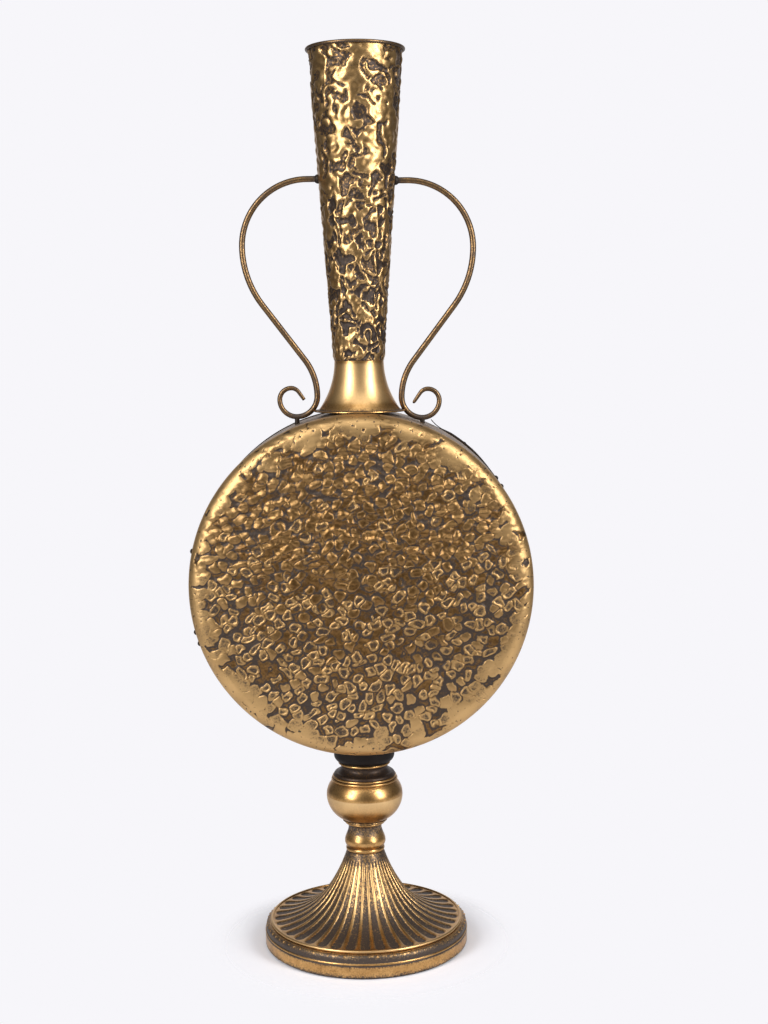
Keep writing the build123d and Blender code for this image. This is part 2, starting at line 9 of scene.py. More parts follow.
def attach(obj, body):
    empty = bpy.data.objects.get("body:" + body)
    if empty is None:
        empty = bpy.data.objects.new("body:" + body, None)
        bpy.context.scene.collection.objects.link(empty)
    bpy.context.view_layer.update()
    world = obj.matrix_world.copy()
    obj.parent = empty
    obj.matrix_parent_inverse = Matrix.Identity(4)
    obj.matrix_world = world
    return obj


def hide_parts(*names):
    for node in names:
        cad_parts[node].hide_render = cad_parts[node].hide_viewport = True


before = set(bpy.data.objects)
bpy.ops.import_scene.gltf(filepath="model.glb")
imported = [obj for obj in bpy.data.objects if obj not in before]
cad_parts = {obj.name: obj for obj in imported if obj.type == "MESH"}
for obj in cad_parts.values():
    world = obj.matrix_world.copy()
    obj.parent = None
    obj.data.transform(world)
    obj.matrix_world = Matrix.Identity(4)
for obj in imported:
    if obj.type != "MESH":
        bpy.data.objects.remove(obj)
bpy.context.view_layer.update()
mm = 0.001  # sizes here are in millimetres, meshes in metres
fullTurn = 2 * pi
tile = 512  # millimetres after which noise repeats
hidden = 0.9  # patina of walls that are out of sight
print("frame loaded:", len(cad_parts), "nodes")


# sRGB hex to linear, channel by channel
def hexColour(code):
    c = array([int(code[i:i + 2], 16) for i in (1, 3, 5)]) / 255
    lin = where(c <= 0.04045, c / 12.92, ((c + 0.055) / 1.055) ** 2.4)
    return (*lin.tolist(), 1.0)


# 0 below low, 1 above high, and a cubic ease between them
def ease(x, low, high):
    t = clip((x - low) / (high - low), 0, 1)
    return t * t * (3 - 2 * t)


# from low to high as t goes from 0 to 1
def mix(t, low, high):
    return low + (high - low) * t


# a bell curve, 1 at its middle
def bell(x, middle, width):
    return exp(-((x - middle) / width) ** 2)


# equal angles round a full turn
def turns(count):
    return arange(count) * fullTurn / count


# points by radius, angle and height
def circled(r, angle, z):
    return stack([r * cos(angle), r * sin(angle), z + 0 * angle], -1)


# white noise kept between two wavelengths, on a square that repeats
def bandNoise(seed, shortest, longest, stretch=1.0):
    white = np.fft.rfft2(np.random.default_rng(seed).standard_normal((tile, tile)))
    f = hypot(np.fft.rfftfreq(tile)[None, :], np.fft.fftfreq(tile)[:, None] * stretch) + 1e-9
    width = np.log(longest / shortest) / 2
    kept = exp(-(np.log(f * sqrt(shortest * longest)) / width) ** 2)
    n = np.fft.irfft2(white * kept, (tile, tile))
    return n / n.std()


# that noise at points in millimetres, blended between its four nearest samples
def noiseAt(x, y, *noise):
    field = bandNoise(*noise)
    j, i = np.floor(x).astype(int), np.floor(y).astype(int)
    fx, fy = x - j, y - i
    i0, i1, j0, j1 = i % tile, (i + 1) % tile, j % tile, (j + 1) % tile
    low = field[i0, j0] * (1 - fx) + field[i0, j1] * fx
    high = field[i1, j0] * (1 - fx) + field[i1, j1] * fx
    return low * (1 - fy) + high * fy


# quads between the lines of a grid of vertex numbers
def quadsOf(index):
    return stack([index[:-1, :-1], index[:-1, 1:], index[1:, 1:], index[1:, :-1]], -1)


# quads of a rows x cols grid of vertices; either way may join its last line to its first
def gridQuads(rows, cols, joinRows=False, joinCols=False):
    index = arange(rows * cols).reshape(rows, cols)
    if joinRows:
        index = vstack([index, index[:1]])
    if joinCols:
        index = hstack([index, index[:, :1]])
    return quadsOf(index).reshape(-1, 4)


# triangles from one line of vertices, taken as a loop, to a single pole
def fanTris(loop, pole):
    return stack([loop, np.roll(loop, -1), full(len(loop), pole)], -1)


# a new object in the scene
def placed(name, data):
    thing = bpy.data.objects.new(name, data)
    bpy.context.collection.objects.link(thing)
    return thing


# a closed skin from points in millimetres, turned outward by the sign of its volume
def makePiece(name, points, quads, tris=None, normals=None, **attributes):
    tris = zeros((0, 3), int) if tris is None else tris
    split = concatenate([quads[:, :3], quads[:, [0, 2, 3]], tris])
    a, b, c = (points[split[:, k]] - points.mean(0) for k in range(3))
    if np.einsum("ij,ij->", a, np.cross(b, c)) < 0:
        quads, tris = quads[:, ::-1], tris[:, ::-1]
    mesh = bpy.data.meshes.new(name)
    mesh.vertices.add(len(points))
    mesh.vertices.foreach_set("co", (points * mm).astype(np.float32).ravel())
    loops = concatenate([quads.ravel(), tris.ravel()]).astype(np.int32)
    starts = concatenate([arange(len(quads)) * 4, quads.size + arange(len(tris)) * 3])
    mesh.loops.add(len(loops))
    mesh.loops.foreach_set("vertex_index", loops)
    mesh.polygons.add(len(starts))
    mesh.polygons.foreach_set("loop_start", starts.astype(np.int32))
    mesh.polygons.foreach_set("use_smooth", np.ones(len(starts), bool))
    mesh.update(calc_edges=True)
    for key, values in attributes.items():  # nought where a lining has none given
        values = np.pad(values.ravel(), (0, len(points) - values.size))
        layer = mesh.attributes.new(key, "FLOAT", "POINT")
        layer.data.foreach_set("value", values.astype(np.float32))
    if normals is not None:  # for the first vertices; the rest keep their own, marked by zeros
        own = vstack([normals, zeros((len(points) - len(normals), 3))])
        mesh.normals_split_custom_set(own[loops].tolist())
    piece = placed(name, mesh)
    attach(piece, "root")
    print("piece", name, len(quads) * 2 + len(tris), "triangles")
    return piece


# length along a line of points, from its start
def runAlong(points):
    return append(0, np.cumsum(np.linalg.norm(np.diff(points, axis=0), axis=1)))


# a closed outline through corners of (radius, height, rounding, patina):
# each corner becomes a short curve, then the whole is divided evenly
def outline(corners, step=0.5):
    bendPoints, mostCut = 7, 0.45  # points on each curve, and how much of a side it may take
    c = array(corners, float)
    p = c[:, :2]
    toLast, toNext = np.roll(p, 1, 0) - p, np.roll(p, -1, 0) - p
    lastLen, nextLen = (maximum(np.linalg.norm(v, axis=1), 1e-9) for v in (toLast, toNext))
    cut = minimum(c[:, 2], mostCut * minimum(lastLen, nextLen))[:, None]
    start, end = p + toLast / lastLen[:, None] * cut, p + toNext / nextLen[:, None] * cut
    s = linspace(0, 1, bendPoints)[None, :, None]
    curve = (1 - s) ** 2 * start[:, None] + 2 * s * (1 - s) * p[:, None] + s ** 2 * end[:, None]
    curve, dark = curve.reshape(-1, 2), np.repeat(c[:, 3], bendPoints)
    curve, dark = vstack([curve, curve[:1]]), append(dark, dark[0])
    run = runAlong(curve)
    at = linspace(0, run[-1], int(run[-1] / step), endpoint=False)
    return stack([np.interp(at, run, v) for v in (curve[:, 0], curve[:, 1], dark)], -1)


# corners along an arc that leaves upright from (r0, z0) and ends at (r1, z1)
def uprightArc(r0, z0, r1, z1, dark0, dark1, count=14):
    radius = ((r0 - r1) ** 2 + (z1 - z0) ** 2) / (2 * (r0 - r1))
    sweep = np.arctan2(z1 - z0, r1 - r0 + radius)
    return [(r0 - radius + radius * cos(t), z0 + radius * sin(t), 0, d)
            for t, d in zip(linspace(0, sweep, count), linspace(dark0, dark1, count))]


# corners of a half-round bead on an upright face, bottom to top
def beadCorners(faceR, z0, z1, out, crestDark=0.0, seamDark=0.9, count=9):
    a = linspace(-pi / 2, pi / 2, count)
    dark = crestDark + (seamDark - crestDark) * abs(a / (pi / 2)) ** 3
    return [(faceR + out * cos(t), (z0 + z1) / 2 + (z1 - z0) / 2 * sin(t), 0, d)
            for t, d in zip(a, dark)]


# the outline turned about the upright axis; patina below nought paints paler gold: rubbed metal,
# and on the bulb and collar a painted reflection and sheen
def turned(name, section, columns=180):
    brightening = 5  # wear for each unit of patina below nought
    points = circled(section[:, :1], turns(columns), section[:, 1:2]).reshape(-1, 3)
    patina = np.repeat(section[:, 2], columns)
    return makePiece(name, points, gridQuads(len(section), columns, True, True),
                     patina=patina, wear=clip(-brightening * patina, 0, 1))


# a section of (across, along Y) offsets carried along a flat path in XZ, with a scale
# for each of the two at every point, and closed on a pole at each end
def carried(name, path, side, section, scale, capLength, y=0.0, **attributes):
    capTurn = radians([75.0, 55.0, 35.0, 15.0])
    tangent = stack([side[:, 1], -side[:, 0]], -1)  # the path's own heading
    ends = []
    for k, sign, order in ((0, -1, 1), (-1, 1, -1)):
        rise, shrink = sin(capTurn)[::order, None], cos(capTurn)[::order, None]
        ends.append((path[k] + sign * tangent[k] * capLength * rise,
                     np.repeat(side[k][None], len(capTurn), 0), scale[k] * shrink))
    path, side, scale = (concatenate([ends[0][k], v, ends[1][k]])
                         for k, v in enumerate((path, side, scale)))
    flat = path[:, None] + side[:, None] * (section[None, :, :1] * scale[:, None, :1])
    depth = y + section[None, :, 1] * scale[:, 1:]
    points = stack([flat[..., 0], depth, flat[..., 1]], -1)
    rows, cols = points.shape[:2]
    poles = points[[0, -1]].mean(1)
    loop = arange(cols)
    tris = concatenate([fanTris(loop[::-1], rows * cols),
                           fanTris(loop + (rows - 1) * cols, rows * cols + 1)])
    extra = {key: append(np.repeat(np.pad(v, len(capTurn), "edge"), cols), [v[0], v[-1]])
             for key, v in attributes.items()}
    points = vstack([points.reshape(-1, 3), poles])
    return makePiece(name, points, gridQuads(rows, cols, False, True), tris, **extra)


# Flask faces: rings and pebbles pressed into a crowned pan with a rounded edge

flask = dict(
    centreZ=378.394, radius=168.8, bandHalf=50.012, edgeR=15.0, crown=5.0, wall=2.2,
    cells=424,  # quads across the pan
    pebble=11.2, rowsDeg=33.0,  # spacing of the pressed pebbles, and turn of their rows
    groove=0.30,  # half the line between two that touch
    depth=1.0, ground=0.45,  # height of the relief, and its level on the plain curve
    settle=(1.45, 0.7),  # bend of the edge, in radians, where the relief dies out
    plain=(135.0, 176.0),  # radius where pebbles run together into the plain edge
    swellings=14, swellField=0.79, swellR=28.0, swellReach=1.2, swellH=1.3, goldenDeg=137.508,
    liningRings=(1, 0.97, 0.92, 0.6), liningDark=0.8,
    # noise: step from the seed, shortest and longest wave, stretch
    waves=((1, 30, 70), (2, 9, 18), (3, 9, 18), (4, 3, 6), (5, 7, 15), (8, 11, 24, 0.45),
           (9, 4, 8)),
)


# signed distances to the nearest two outlines among squarish pebbles on a jittered grid,
# with the nearest one's kind and gap
def pebbles(x, z, seed, cell, spread):
    n, jitter, small = 96, 0.34, 0.95  # cells in the table; kinds above small are small pebbles
    rng = np.random.default_rng(seed)
    jx, jz = rng.uniform(-jitter, jitter, (2, n, n))
    turn, stretch = rng.normal(0, 0.3, (n, n)), exp(rng.normal(-0.08, 0.17, (n, n)))
    size, kinds = rng.uniform(0.36, 0.52, (n, n)), rng.uniform(0, 1, (n, n))
    gaps = rng.uniform(0, fullTurn, (n, n))
    i0, j0 = np.floor(x / cell).astype(int), np.floor(z / cell).astype(int)
    best, second = full(x.shape, 1e9), full(x.shape, 1e9)
    kind, gap = zeros(x.shape), zeros(x.shape)
    for di, dj in np.ndindex(5, 5):  # the 25 cells round each point
        gi, gj = i0 + di - 2, j0 + dj - 2
        i, j = gi % n, gj % n
        dx, dz = x - (gi + 0.5 + jx[i, j]) * cell, z - (gj + 0.5 + jz[i, j]) * cell
        c, s = cos(turn[i, j]), sin(turn[i, j])
        u, v = abs(c * dx + s * dz) * stretch[i, j], abs(c * dz - s * dx) / stretch[i, j]
        d = (u ** 3 + v ** 3) ** (1 / 3) - (size[i, j] + 0.42 * spread) * cell
        d += where(kinds[i, j] > small, 0.3 * cell * (1 - spread), 0)
        near = d < best
        second = minimum(second, maximum(best, d))
        best = where(near, d, best)
        kind = where(near, kinds[i, j], kind)
        gap = where(near, cos(np.arctan2(dz, dx) - gaps[i, j]), gap)
    return best, second, kind, gap


# relief height 0 to about 1, patina in its corners and wear (partly a painted highlight) on its
# crests, over the pan's flat coordinates; distances here are millimetres, and the other factors are
# shares of 1
def pressedCobbles(x, z, seed):
    f = flask
    radius, turn = hypot(x, z), np.arctan2(z, x) * 2 * tile / fullTurn
    slow, warpX, warpZ, fine, rolling, ripple, speck = (
        noiseAt(x, z, seed + step, *wave) for step, *wave in f["waves"])
    ripple = ripple * ease(z, -60, 60)  # level folds, upper half only
    dash = ease(noiseAt(turn, radius * 0.28, seed + 6, 3, 6), 1.5, 2.2)
    marks = maximum(dash, ease(speck, 1.55, 1.95))  # strokes toward the rim, small pits
    plain = ease(radius + 6 * slow, *f["plain"])
    ringZone = ease(z, 45, -25)  # rings lie below, folds and domes above
    c, s = cos(radians(f["rowsDeg"])), sin(radians(f["rowsDeg"]))
    u, v = x + 0.7 * warpX, z + 0.7 * warpZ
    u, v = c * u + s * v, c * v - s * u
    best, second, kind, gap = pebbles(u, v, seed, f["pebble"], 0.8 * plain)
    merged = 2.6 * plain * (1 + 0.4 * rolling)  # grooves break up outward
    line = f["groove"] * (1 + 0.5 * rolling) - merged
    d = maximum(best, 0.5 * (best - second) + line) + 0.12 * fine
    ringShare = mix(ringZone, 0.16, 0.74)
    hollow = kind < ringShare  # rings; the rest are flat pebbles and domes
    opened = hollow & (kind > 0.7 * ringShare)
    ridge = bell(d, -0.95, 0.9) * where(hollow, 1.0, 0.30)
    ridge = where(opened, ridge * ease(gap, -0.75, -0.1), ridge)
    ridge = ridge * (1 - ease(plain, 0.05, 0.6))
    inside = ease(-d, -0.35, 0.8)
    height = maximum(ridge, inside * mix(plain, where(hollow, 0.28, 0.55), 0.9))
    height += where(hollow, 0, 0.5 * ease(-d, 0, 3.8)) * (1 - plain)
    height += (1 - inside) * (0.08 * fine + 0.14 * rolling)
    height += 0.42 * ripple * (1 - plain) - 0.3 * marks * plain
    core = where(hollow, ease(-d, 1.35, 2.2), 0) * (1 - plain)
    sooty = 0.20 + mix(ringZone, 0.12, 0.32) * ease(radius, 70, 135)  # darker outward
    sooty = clip(sooty + 0.15 * slow + 0.10 * rolling - 0.15 * ripple, 0.05, 0.85)
    patina = mix(ringZone, 0.52, 0.72) * bell(d, 0.75, 0.75) + 0.52 * core
    patina += (1 - inside) * sooty + 0.10 * inside * (1 - plain)
    patina = clip(patina, 0, 1) * (1 - 0.65 * ridge)
    patina = maximum(patina, 0.9 * marks * plain)
    rubbedAndHighlit = maximum(0.45 * ridge, mix(ringZone, 0.16, 0.30) * ease(radius, 60, 130))
    # the lower face is made paler: a painted reflection of the floor
    rubbedAndHighlit = rubbedAndHighlit + 0.16 * ease(z, -50, -130)
    # the plain edge is rubbed paler: real wear, and a painted highlight for the rim's broad glow
    return height, patina, inside * mix(plain, rubbedAndHighlit, 0.76)


# broad swellings of the sheet: bells at the places of a sunflower's seeds
def swell(x, z):
    f = flask
    number = arange(f["swellings"])
    field = f["swellField"] * (f["radius"] - f["edgeR"])
    away = sqrt((number + 0.5) / (f["swellings"] - 0.5)) * field
    turn = radians(number * f["goldenDeg"])
    reach = f["swellReach"] * f["swellR"]
    total = zeros(x.shape)
    for cx, cz in zip(away * cos(turn), away * sin(turn)):
        total += clip(1 - ((x - cx) ** 2 + (z - cz) ** 2) / reach ** 2, 0, None) ** 2
    return f["swellH"] * total


# square grid laid on a disc so that rings of the square become circles
def discGrid(cells):
    a, b = np.meshgrid(linspace(-1, 1, cells + 1), linspace(-1, 1, cells + 1))
    wide = abs(a) > abs(b)
    safeA, safeB = (where(abs(v) < 1e-12, 1e-12, v) for v in (a, b))
    rho = where(wide, a, b)
    phi = where(wide, pi / 4 * b / safeA, pi / 2 - pi / 4 * a / safeB)
    return rho * cos(phi), rho * sin(phi)


# how deep the pan's inner wall lies behind the band's edge at a radius:
# a crown, then a quarter round
def innerDepth(r):
    f = flask
    faceR, inR = f["radius"] - f["edgeR"], f["edgeR"] - f["wall"]
    crown = inR + f["crown"] * (1 - minimum(r / faceR, 1) ** 2)
    return where(r <= faceR, crown, sqrt(clip(inR ** 2 - (r - faceR) ** 2, 0, None)))


# the pan: face on a shallow crown and a quarter-round edge, both pushed out by the relief;
# its two halves meet on the upright middle line and share the normals of the whole
def pressedPan(name, facing, seed):
    f = flask
    n = f["cells"] + 1
    gx, gz = discGrid(f["cells"])
    faceR = f["radius"] - f["edgeR"]
    reach = hypot(gx, gz) * (faceR + f["edgeR"] * pi / 2)
    way = stack([gx, gz], -1) / maximum(hypot(gx, gz), 1e-9)[..., None]
    bend = clip(reach - faceR, 0, None) / f["edgeR"]
    r = minimum(reach, faceR) + f["edgeR"] * sin(bend)
    out = f["crown"] * (1 - minimum(reach / faceR, 1) ** 2) - f["edgeR"] * (1 - cos(bend))
    flatX, flatZ = way[..., 0] * reach, way[..., 1] * reach
    height, patina, wear = pressedCobbles(flatX * facing, flatZ, seed)
    settle = ease(bend, *f["settle"])
    lift = settle * (f["depth"] * (height - f["ground"]) + swell(flatX, flatZ))
    r, out = r + lift * sin(bend), out + lift * cos(bend)
    skin = stack([way[..., 0] * r, facing * (-f["bandHalf"] - f["edgeR"] - out),
                     f["centreZ"] + way[..., 1] * r], -1)
    normal = np.cross(np.gradient(skin, axis=0), np.gradient(skin, axis=1))
    normal /= np.linalg.norm(normal, axis=-1, keepdims=True)
    normal *= where(normal[n // 2, n // 2, 1] * facing < 0, 1, -1)
    halves = []
    for label, columns in (("Left", slice(0, n // 2 + 1)), ("Right", slice(n // 2, n))):
        part = skin[:, columns]
        rows, cols = part.shape[:2]
        index = arange(rows * cols).reshape(rows, cols)
        loop = concatenate([index[0, :-1], index[:-1, -1], index[-1, :0:-1], index[:0:-1, 0]])
        flat = part.reshape(-1, 3)[loop][:, [0, 2]] - (0, f["centreZ"])
        pole = flat.mean(0)
        inner = flat * (1 - f["wall"] / f["radius"]) - pole
        back = vstack([pole + inner * share for share in f["liningRings"]] + [pole[None]])
        depth = innerDepth(np.linalg.norm(back, axis=1))
        lining = stack([back[:, 0], facing * (-f["bandHalf"] - depth),
                           f["centreZ"] + back[:, 1]], -1)
        ring = arange(len(lining) - 1).reshape(len(f["liningRings"]), -1) + rows * cols
        joined = vstack([loop[None], ring])
        joined = hstack([joined, joined[:, :1]])
        turnedBack = quadsOf(joined)[..., [0, 3, 2, 1]].reshape(-1, 4)
        points = vstack([part.reshape(-1, 3), lining])
        tris = fanTris(ring[-1], len(points) - 1)[:, ::-1]
        halves.append(makePiece(
            name + label, points, vstack([gridQuads(rows, cols), turnedBack]), tris,
            normal[:, columns].reshape(-1, 3),
            patina=append(patina[:, columns].ravel(), full(len(lining), f["liningDark"])),
            wear=wear[:, columns]))
    return halves


frontHalves = pressedPan("frontPan", 1, 31)
backHalves = pressedPan("backPan", -1, 57)


# Side band: a hoop with the throat hole under the collar

band = dict(wall=1.0, columns=720, rows=65, throatR=22.0, patina=0.58)


# outer and inner walls on one grid of angle and depth;
# cells inside the throat go, and the two walls are joined round it
def sideHoop():
    f, b = flask, band
    angle = turns(b["columns"])
    y = linspace(-f["bandHalf"], f["bandHalf"], b["rows"])
    x = f["radius"] * sin(angle)[None, :] + 0 * y[:, None]
    yy = y[:, None] + 0 * angle
    top = cos(angle)[None, :] + 0 * yy > 0
    midX, midY = (np.roll(x, -1, 1) + x)[:-1] / 2, (yy[:-1] + yy[1:]) / 2
    hole = (hypot(midX, midY) < b["throatR"]) & top[:-1]
    near = np.pad(hole, ((1, 1), (0, 0)))
    near = stack([near[1:], near[:-1], np.roll(near[1:], 1, 1), np.roll(near[:-1], 1, 1)])
    lip = near.any(0) & ~near.all(0)
    pull = where(lip, b["throatR"] / maximum(hypot(x, yy), 1e-6), 1.0)
    x, yy = x * pull, yy * pull
    sign = where(cos(angle) >= 0, 1, -1)[None, :]
    walls = []
    for radius in (f["radius"], f["radius"] - b["wall"]):
        xr = where(lip, x, x * radius / f["radius"])
        zr = f["centreZ"] + sign * sqrt(maximum(radius ** 2 - xr ** 2, 0))
        walls.append(stack([xr, yy, zr], -1))
    points = concatenate([w.reshape(-1, 3) for w in walls])
    rows, cols = x.shape
    index = arange(rows * cols).reshape(rows, cols)
    index = hstack([index, index[:, :1]])
    outer = quadsOf(index)[~hole]
    upright = stack([index[:-1, 1:], index[1:, 1:]], -1)
    level = stack([index[:, :-1], index[:, 1:]], -1)
    right, below = np.roll(hole, -1, 1), vstack([hole[1:], hole[:1]])
    edge = concatenate([
        level[0][:, ::-1], level[-1],
        upright[~hole & right], upright[hole & ~right][:, ::-1],
        level[1:][~hole & below][:, ::-1], level[1:][hole & ~below]])
    shift = rows * cols
    joins = stack([edge[:, 1], edge[:, 0], edge[:, 0] + shift, edge[:, 1] + shift], -1)
    quads = concatenate([outer, outer[:, ::-1] + shift, joins])
    return makePiece("sideHoop", points, quads, patina=full(len(points), b["patina"]))


hoop = sideHoop()


# Neck: a cone of pressed sheet, bark-like ridges round dark pits

neck = dict(
    footZ=598.143, topZ=899.043, footR=25.0, topR=46.1, wall=1.8, columns=264, rows=340,
    liningRows=9, around=14, cellHeight=11.0, growth=2.0, depth=2.1, ground=0.72, ridge=1.7,
    deepest=1.35,
    # noise: seed, shortest and longest wave, stretch
    waves=((71, 40, 90, 0.5), (72, 40, 90, 0.5), (73, 40, 90, 0.5), (74, 7, 15, 0.4),
           (76, 16, 36, 0.4), (77, 5, 12, 0.12)),
)


# the two nearest of a jittered lattice that closes round the neck: the difference of their
# distances is 0 on the line between two cells
def netDistance(u, v, seed, around, width, height, slant):
    n, jitter = 64, 0.42
    rng = np.random.default_rng(seed)
    jx, jz = rng.uniform(-jitter, jitter, (2, n, n))
    kinds = rng.uniform(0, 1, (n, n))
    i0, j0 = np.floor(u).astype(int), np.floor(v).astype(int)
    near, second, kind = full(u.shape, 1e9), full(u.shape, 1e9), zeros(u.shape)
    for di, dj in np.ndindex(5, 5):
        gi, gj = i0 + di - 2, j0 + dj - 2
        i, j = gi % around, gj % n
        dx, dz = (u - gi - 0.5 - jx[i, j]) * width, (v - gj - 0.5 - jz[i, j]) * height
        d = hypot(dx + slant * dz, dz * (1 - 0.45 * abs(slant)))
        second = minimum(second, maximum(near, d))
        kind = where(d < near, kinds[i, j], kind)
        near = minimum(near, d)
    return second - near, kind


# a cone whose cells are dark pits or raised plates, with gold ridges on the lines between them;
# distances here are millimetres, and the other factors are shares of 1
def pressedNeck():
    k = neck
    angle = turns(k["columns"])
    z = linspace(k["footZ"], k["topZ"], k["rows"])
    tall = k["topZ"] - k["footZ"]
    t = ((z - k["footZ"]) / tall)[:, None] + 0 * angle
    baseR = mix(t, k["footR"], k["topR"])
    a = angle[None, :] + 0 * t
    loopX, loopY = tile * a / fullTurn, z[:, None] + 0 * a  # noise repeats once round the neck
    warpU, warpV, slow, fine, crumple, streak = (noiseAt(loopX, loopY, *w) for w in k["waves"])
    closing = k["growth"] / (1 + k["growth"])  # cells grow taller toward the mouth
    u = k["around"] * a / fullTurn + 0.26 * warpU
    v = tall / k["cellHeight"] * (t - 0.5 * closing * t ** 2) + 0.30 * warpV
    width, height = baseR * fullTurn / k["around"], k["cellHeight"] / (1 - closing * t)
    slant = 0.8 * np.tanh(1.5 * slow) * t
    gap, kind = netDistance(u, v, 75, k["around"], width, height * (1 - 0.45 * t), slant)
    gap = gap / mix(t, 0.84, 1.18)  # finer toward the narrow end
    lip = k["ridge"] * (1 + 0.5 * crumple)
    sunk = ease(gap, lip - 0.5, lip + 5.0)
    drop = where(kind < mix(t, 0.73, 0.68), mix(kind, 0.75, 1.10), 0)  # the rest are plates
    ridge = bell(gap, 0, clip(lip, 0.3, None) + 1.2)
    plate = where(drop > 0, 0, ease(gap, 0, 6))
    relief = 0.75 - 0.85 * drop * sunk + 0.15 * ridge + 0.20 * plate
    relief += 0.10 * crumple + 0.07 * fine * drop * sunk
    seam = bell(gap - lip, 1.3, 0.9) * where(drop > 0, 0.45, 0.12)
    patina = mix(t, 0.84, 0.72) * drop * ease(gap, lip + 0.2, lip + 3.2) + seam
    patina += 0.40 * ease(streak, 0.5, 1.6) + 0.10 * fine + 0.14 * ease(t, 0.35, 0)
    ends = ease(z, k["footZ"], k["footZ"] + 4) * ease(z, k["topZ"], k["topZ"] - 6)
    push = ends[:, None] * k["depth"] * (relief - k["ground"])
    push = maximum(push, k["deepest"] * np.tanh(push / k["deepest"]))  # stays in the wall
    skin = circled(baseR + push, a, loopY)
    inT = linspace(1, 0, k["liningRows"])[:, None]
    inR = k["footR"] - k["wall"] + (k["topR"] - k["footR"]) * inT
    lining = circled(inR, angle[None, :], k["footZ"] + tall * inT)
    points = vstack([skin.reshape(-1, 3), lining.reshape(-1, 3)])
    pad = lining[..., 0].size
    quads = gridQuads(k["rows"] + k["liningRows"], k["columns"], True, True)
    return makePiece("neckSheet", points, quads,
                     patina=append(clip(patina, 0, 1).ravel(), full(pad, 0.85)),
                     wear=0.4 * ridge + 0.25 * plate)


neckSheet = pressedNeck()


# Collar and mouth ring

collar = dict(
    baseZ=547.194, flangeR=45.512, flangeT=1.6, flangeW=1.6, topR=24.5, topZ=598.143, flareR=82.0,
    turn=37.0, wall=1.2, spigotR=23.9, spigotH=12.0, inDark=0.8,
)
mouth = dict(ringR=47.2, z=898.443, tube=1.6)


# flange, one sweeping flare whose slope goes from 37 degrees to upright,
# and a spigot up inside the neck
def collarPiece():
    c = collar
    slope = radians(linspace(c["turn"], 0, 40))
    (r, z), (inR, inZ) = (
        (c["topR"] + c["flareR"] * (1 - cos(slope)) + off * cos(slope),
         c["topZ"] - c["flareR"] * sin(slope) + off * sin(slope)) for off in (0, -c["wall"]))
    # patina below nought along the flare paints it paler all over: a painted sheen for its bright
    # highlights
    dark = -0.10 + 0.80 * exp(-(z - z[0]) / 3.0) + 0.8 * exp(-(z[-1] - z) / 1.0)
    outer = [(rr, zz, 0, d) for rr, zz, d in zip(r, z, dark)]
    inner = [(rr, zz, 0, c["inDark"]) for rr, zz in zip(inR[::-4], inZ[::-4])]
    flangeTop, top = c["baseZ"] + c["flangeT"], c["topZ"] + c["spigotH"]
    outR, boreR = c["spigotR"], c["spigotR"] - c["wall"]
    section = outline([
        (c["flangeR"], c["baseZ"], 0.5, 0.55), (c["flangeR"], flangeTop, 0.5, 0.0),
        (c["flangeR"] - c["flangeW"], flangeTop, 0, 0.75), *outer,
        (outR, c["topZ"], 0, hidden), (outR, top, 0.2, hidden), (boreR, top, 0.2, hidden),
        (boreR, c["topZ"], 0, c["inDark"]), *inner, (inR[0], c["baseZ"], 0, c["inDark"])])
    return turned("neckCollar", section, 160)


# a round bead, painted pale on top and dark underneath: painted highlight and painted shade
def mouthPiece():
    a, tube = turns(28), mouth["tube"]
    r, z = mouth["ringR"] + tube * cos(a), mouth["z"] + tube * sin(a)
    return turned("mouthRing", stack([r, z, 0.42 - 0.25 * sin(a)], -1), 220)


neckCollar, mouthRing = collarPiece(), mouthPiece()


# Turned stem, from the saucer down to the knop; dark is the patina from one end to the other

stem = dict(
    boreR=4.2,
    saucer=dict(z=190.394, bottomR=25.8, r=30.9, curve=7.0, wallH=12.0, dark=(0.45, 0.35)),
    saucerBead=dict(z=187.794, h=2.6, faceR=25.4, out=1.2),
    spool=dict(z=176.294, shoulderR=31.3, shoulderH=3.2, neckR=27.55, coveR=23.8, coveH=8.2,
               h=11.5, topR=25.4, dark=(0.30, 0.22), coveDark=0.28),
    rings=dict(z=170.894, h=2.7, lowerR=32.5, upperR=31.3, lowerDark=0.05),
    bulb=dict(z=131.494, bottomR=24.8, r=38.9, topR=32.5, lower=24.4, upper=15.0, wall=1.4,
              # the lower arc's patina below nought paints it paler gold: a painted reflection of
              # the floor
              lowerDark=(-0.16, 0.12), upperDark=(0.08, 0.30)),
    cup=dict(z=125.394, beadR=20.6, beadH=2.6, ringR=23.0, ringH=2.2, lipH=1.3,
             beadDark=0.05, ringDark=0.45, lipDark=0.6),
    knop=dict(z=100.994, h=24.4, footR=18.4, bellyR=20.9, bellyH=6.2, neckR=16.9, neckH=20.0,
              topR=18.2),
    knopBead=dict(z=96.794, h=4.2, faceR=18.4, out=1.4),
)


# closes a list of outer corners, bottom to top, down a bore
def bored(corners):
    bore = stem["boreR"]
    return corners + [(bore, corners[-1][1], 0, hidden), (bore, corners[0][1], 0, hidden)]


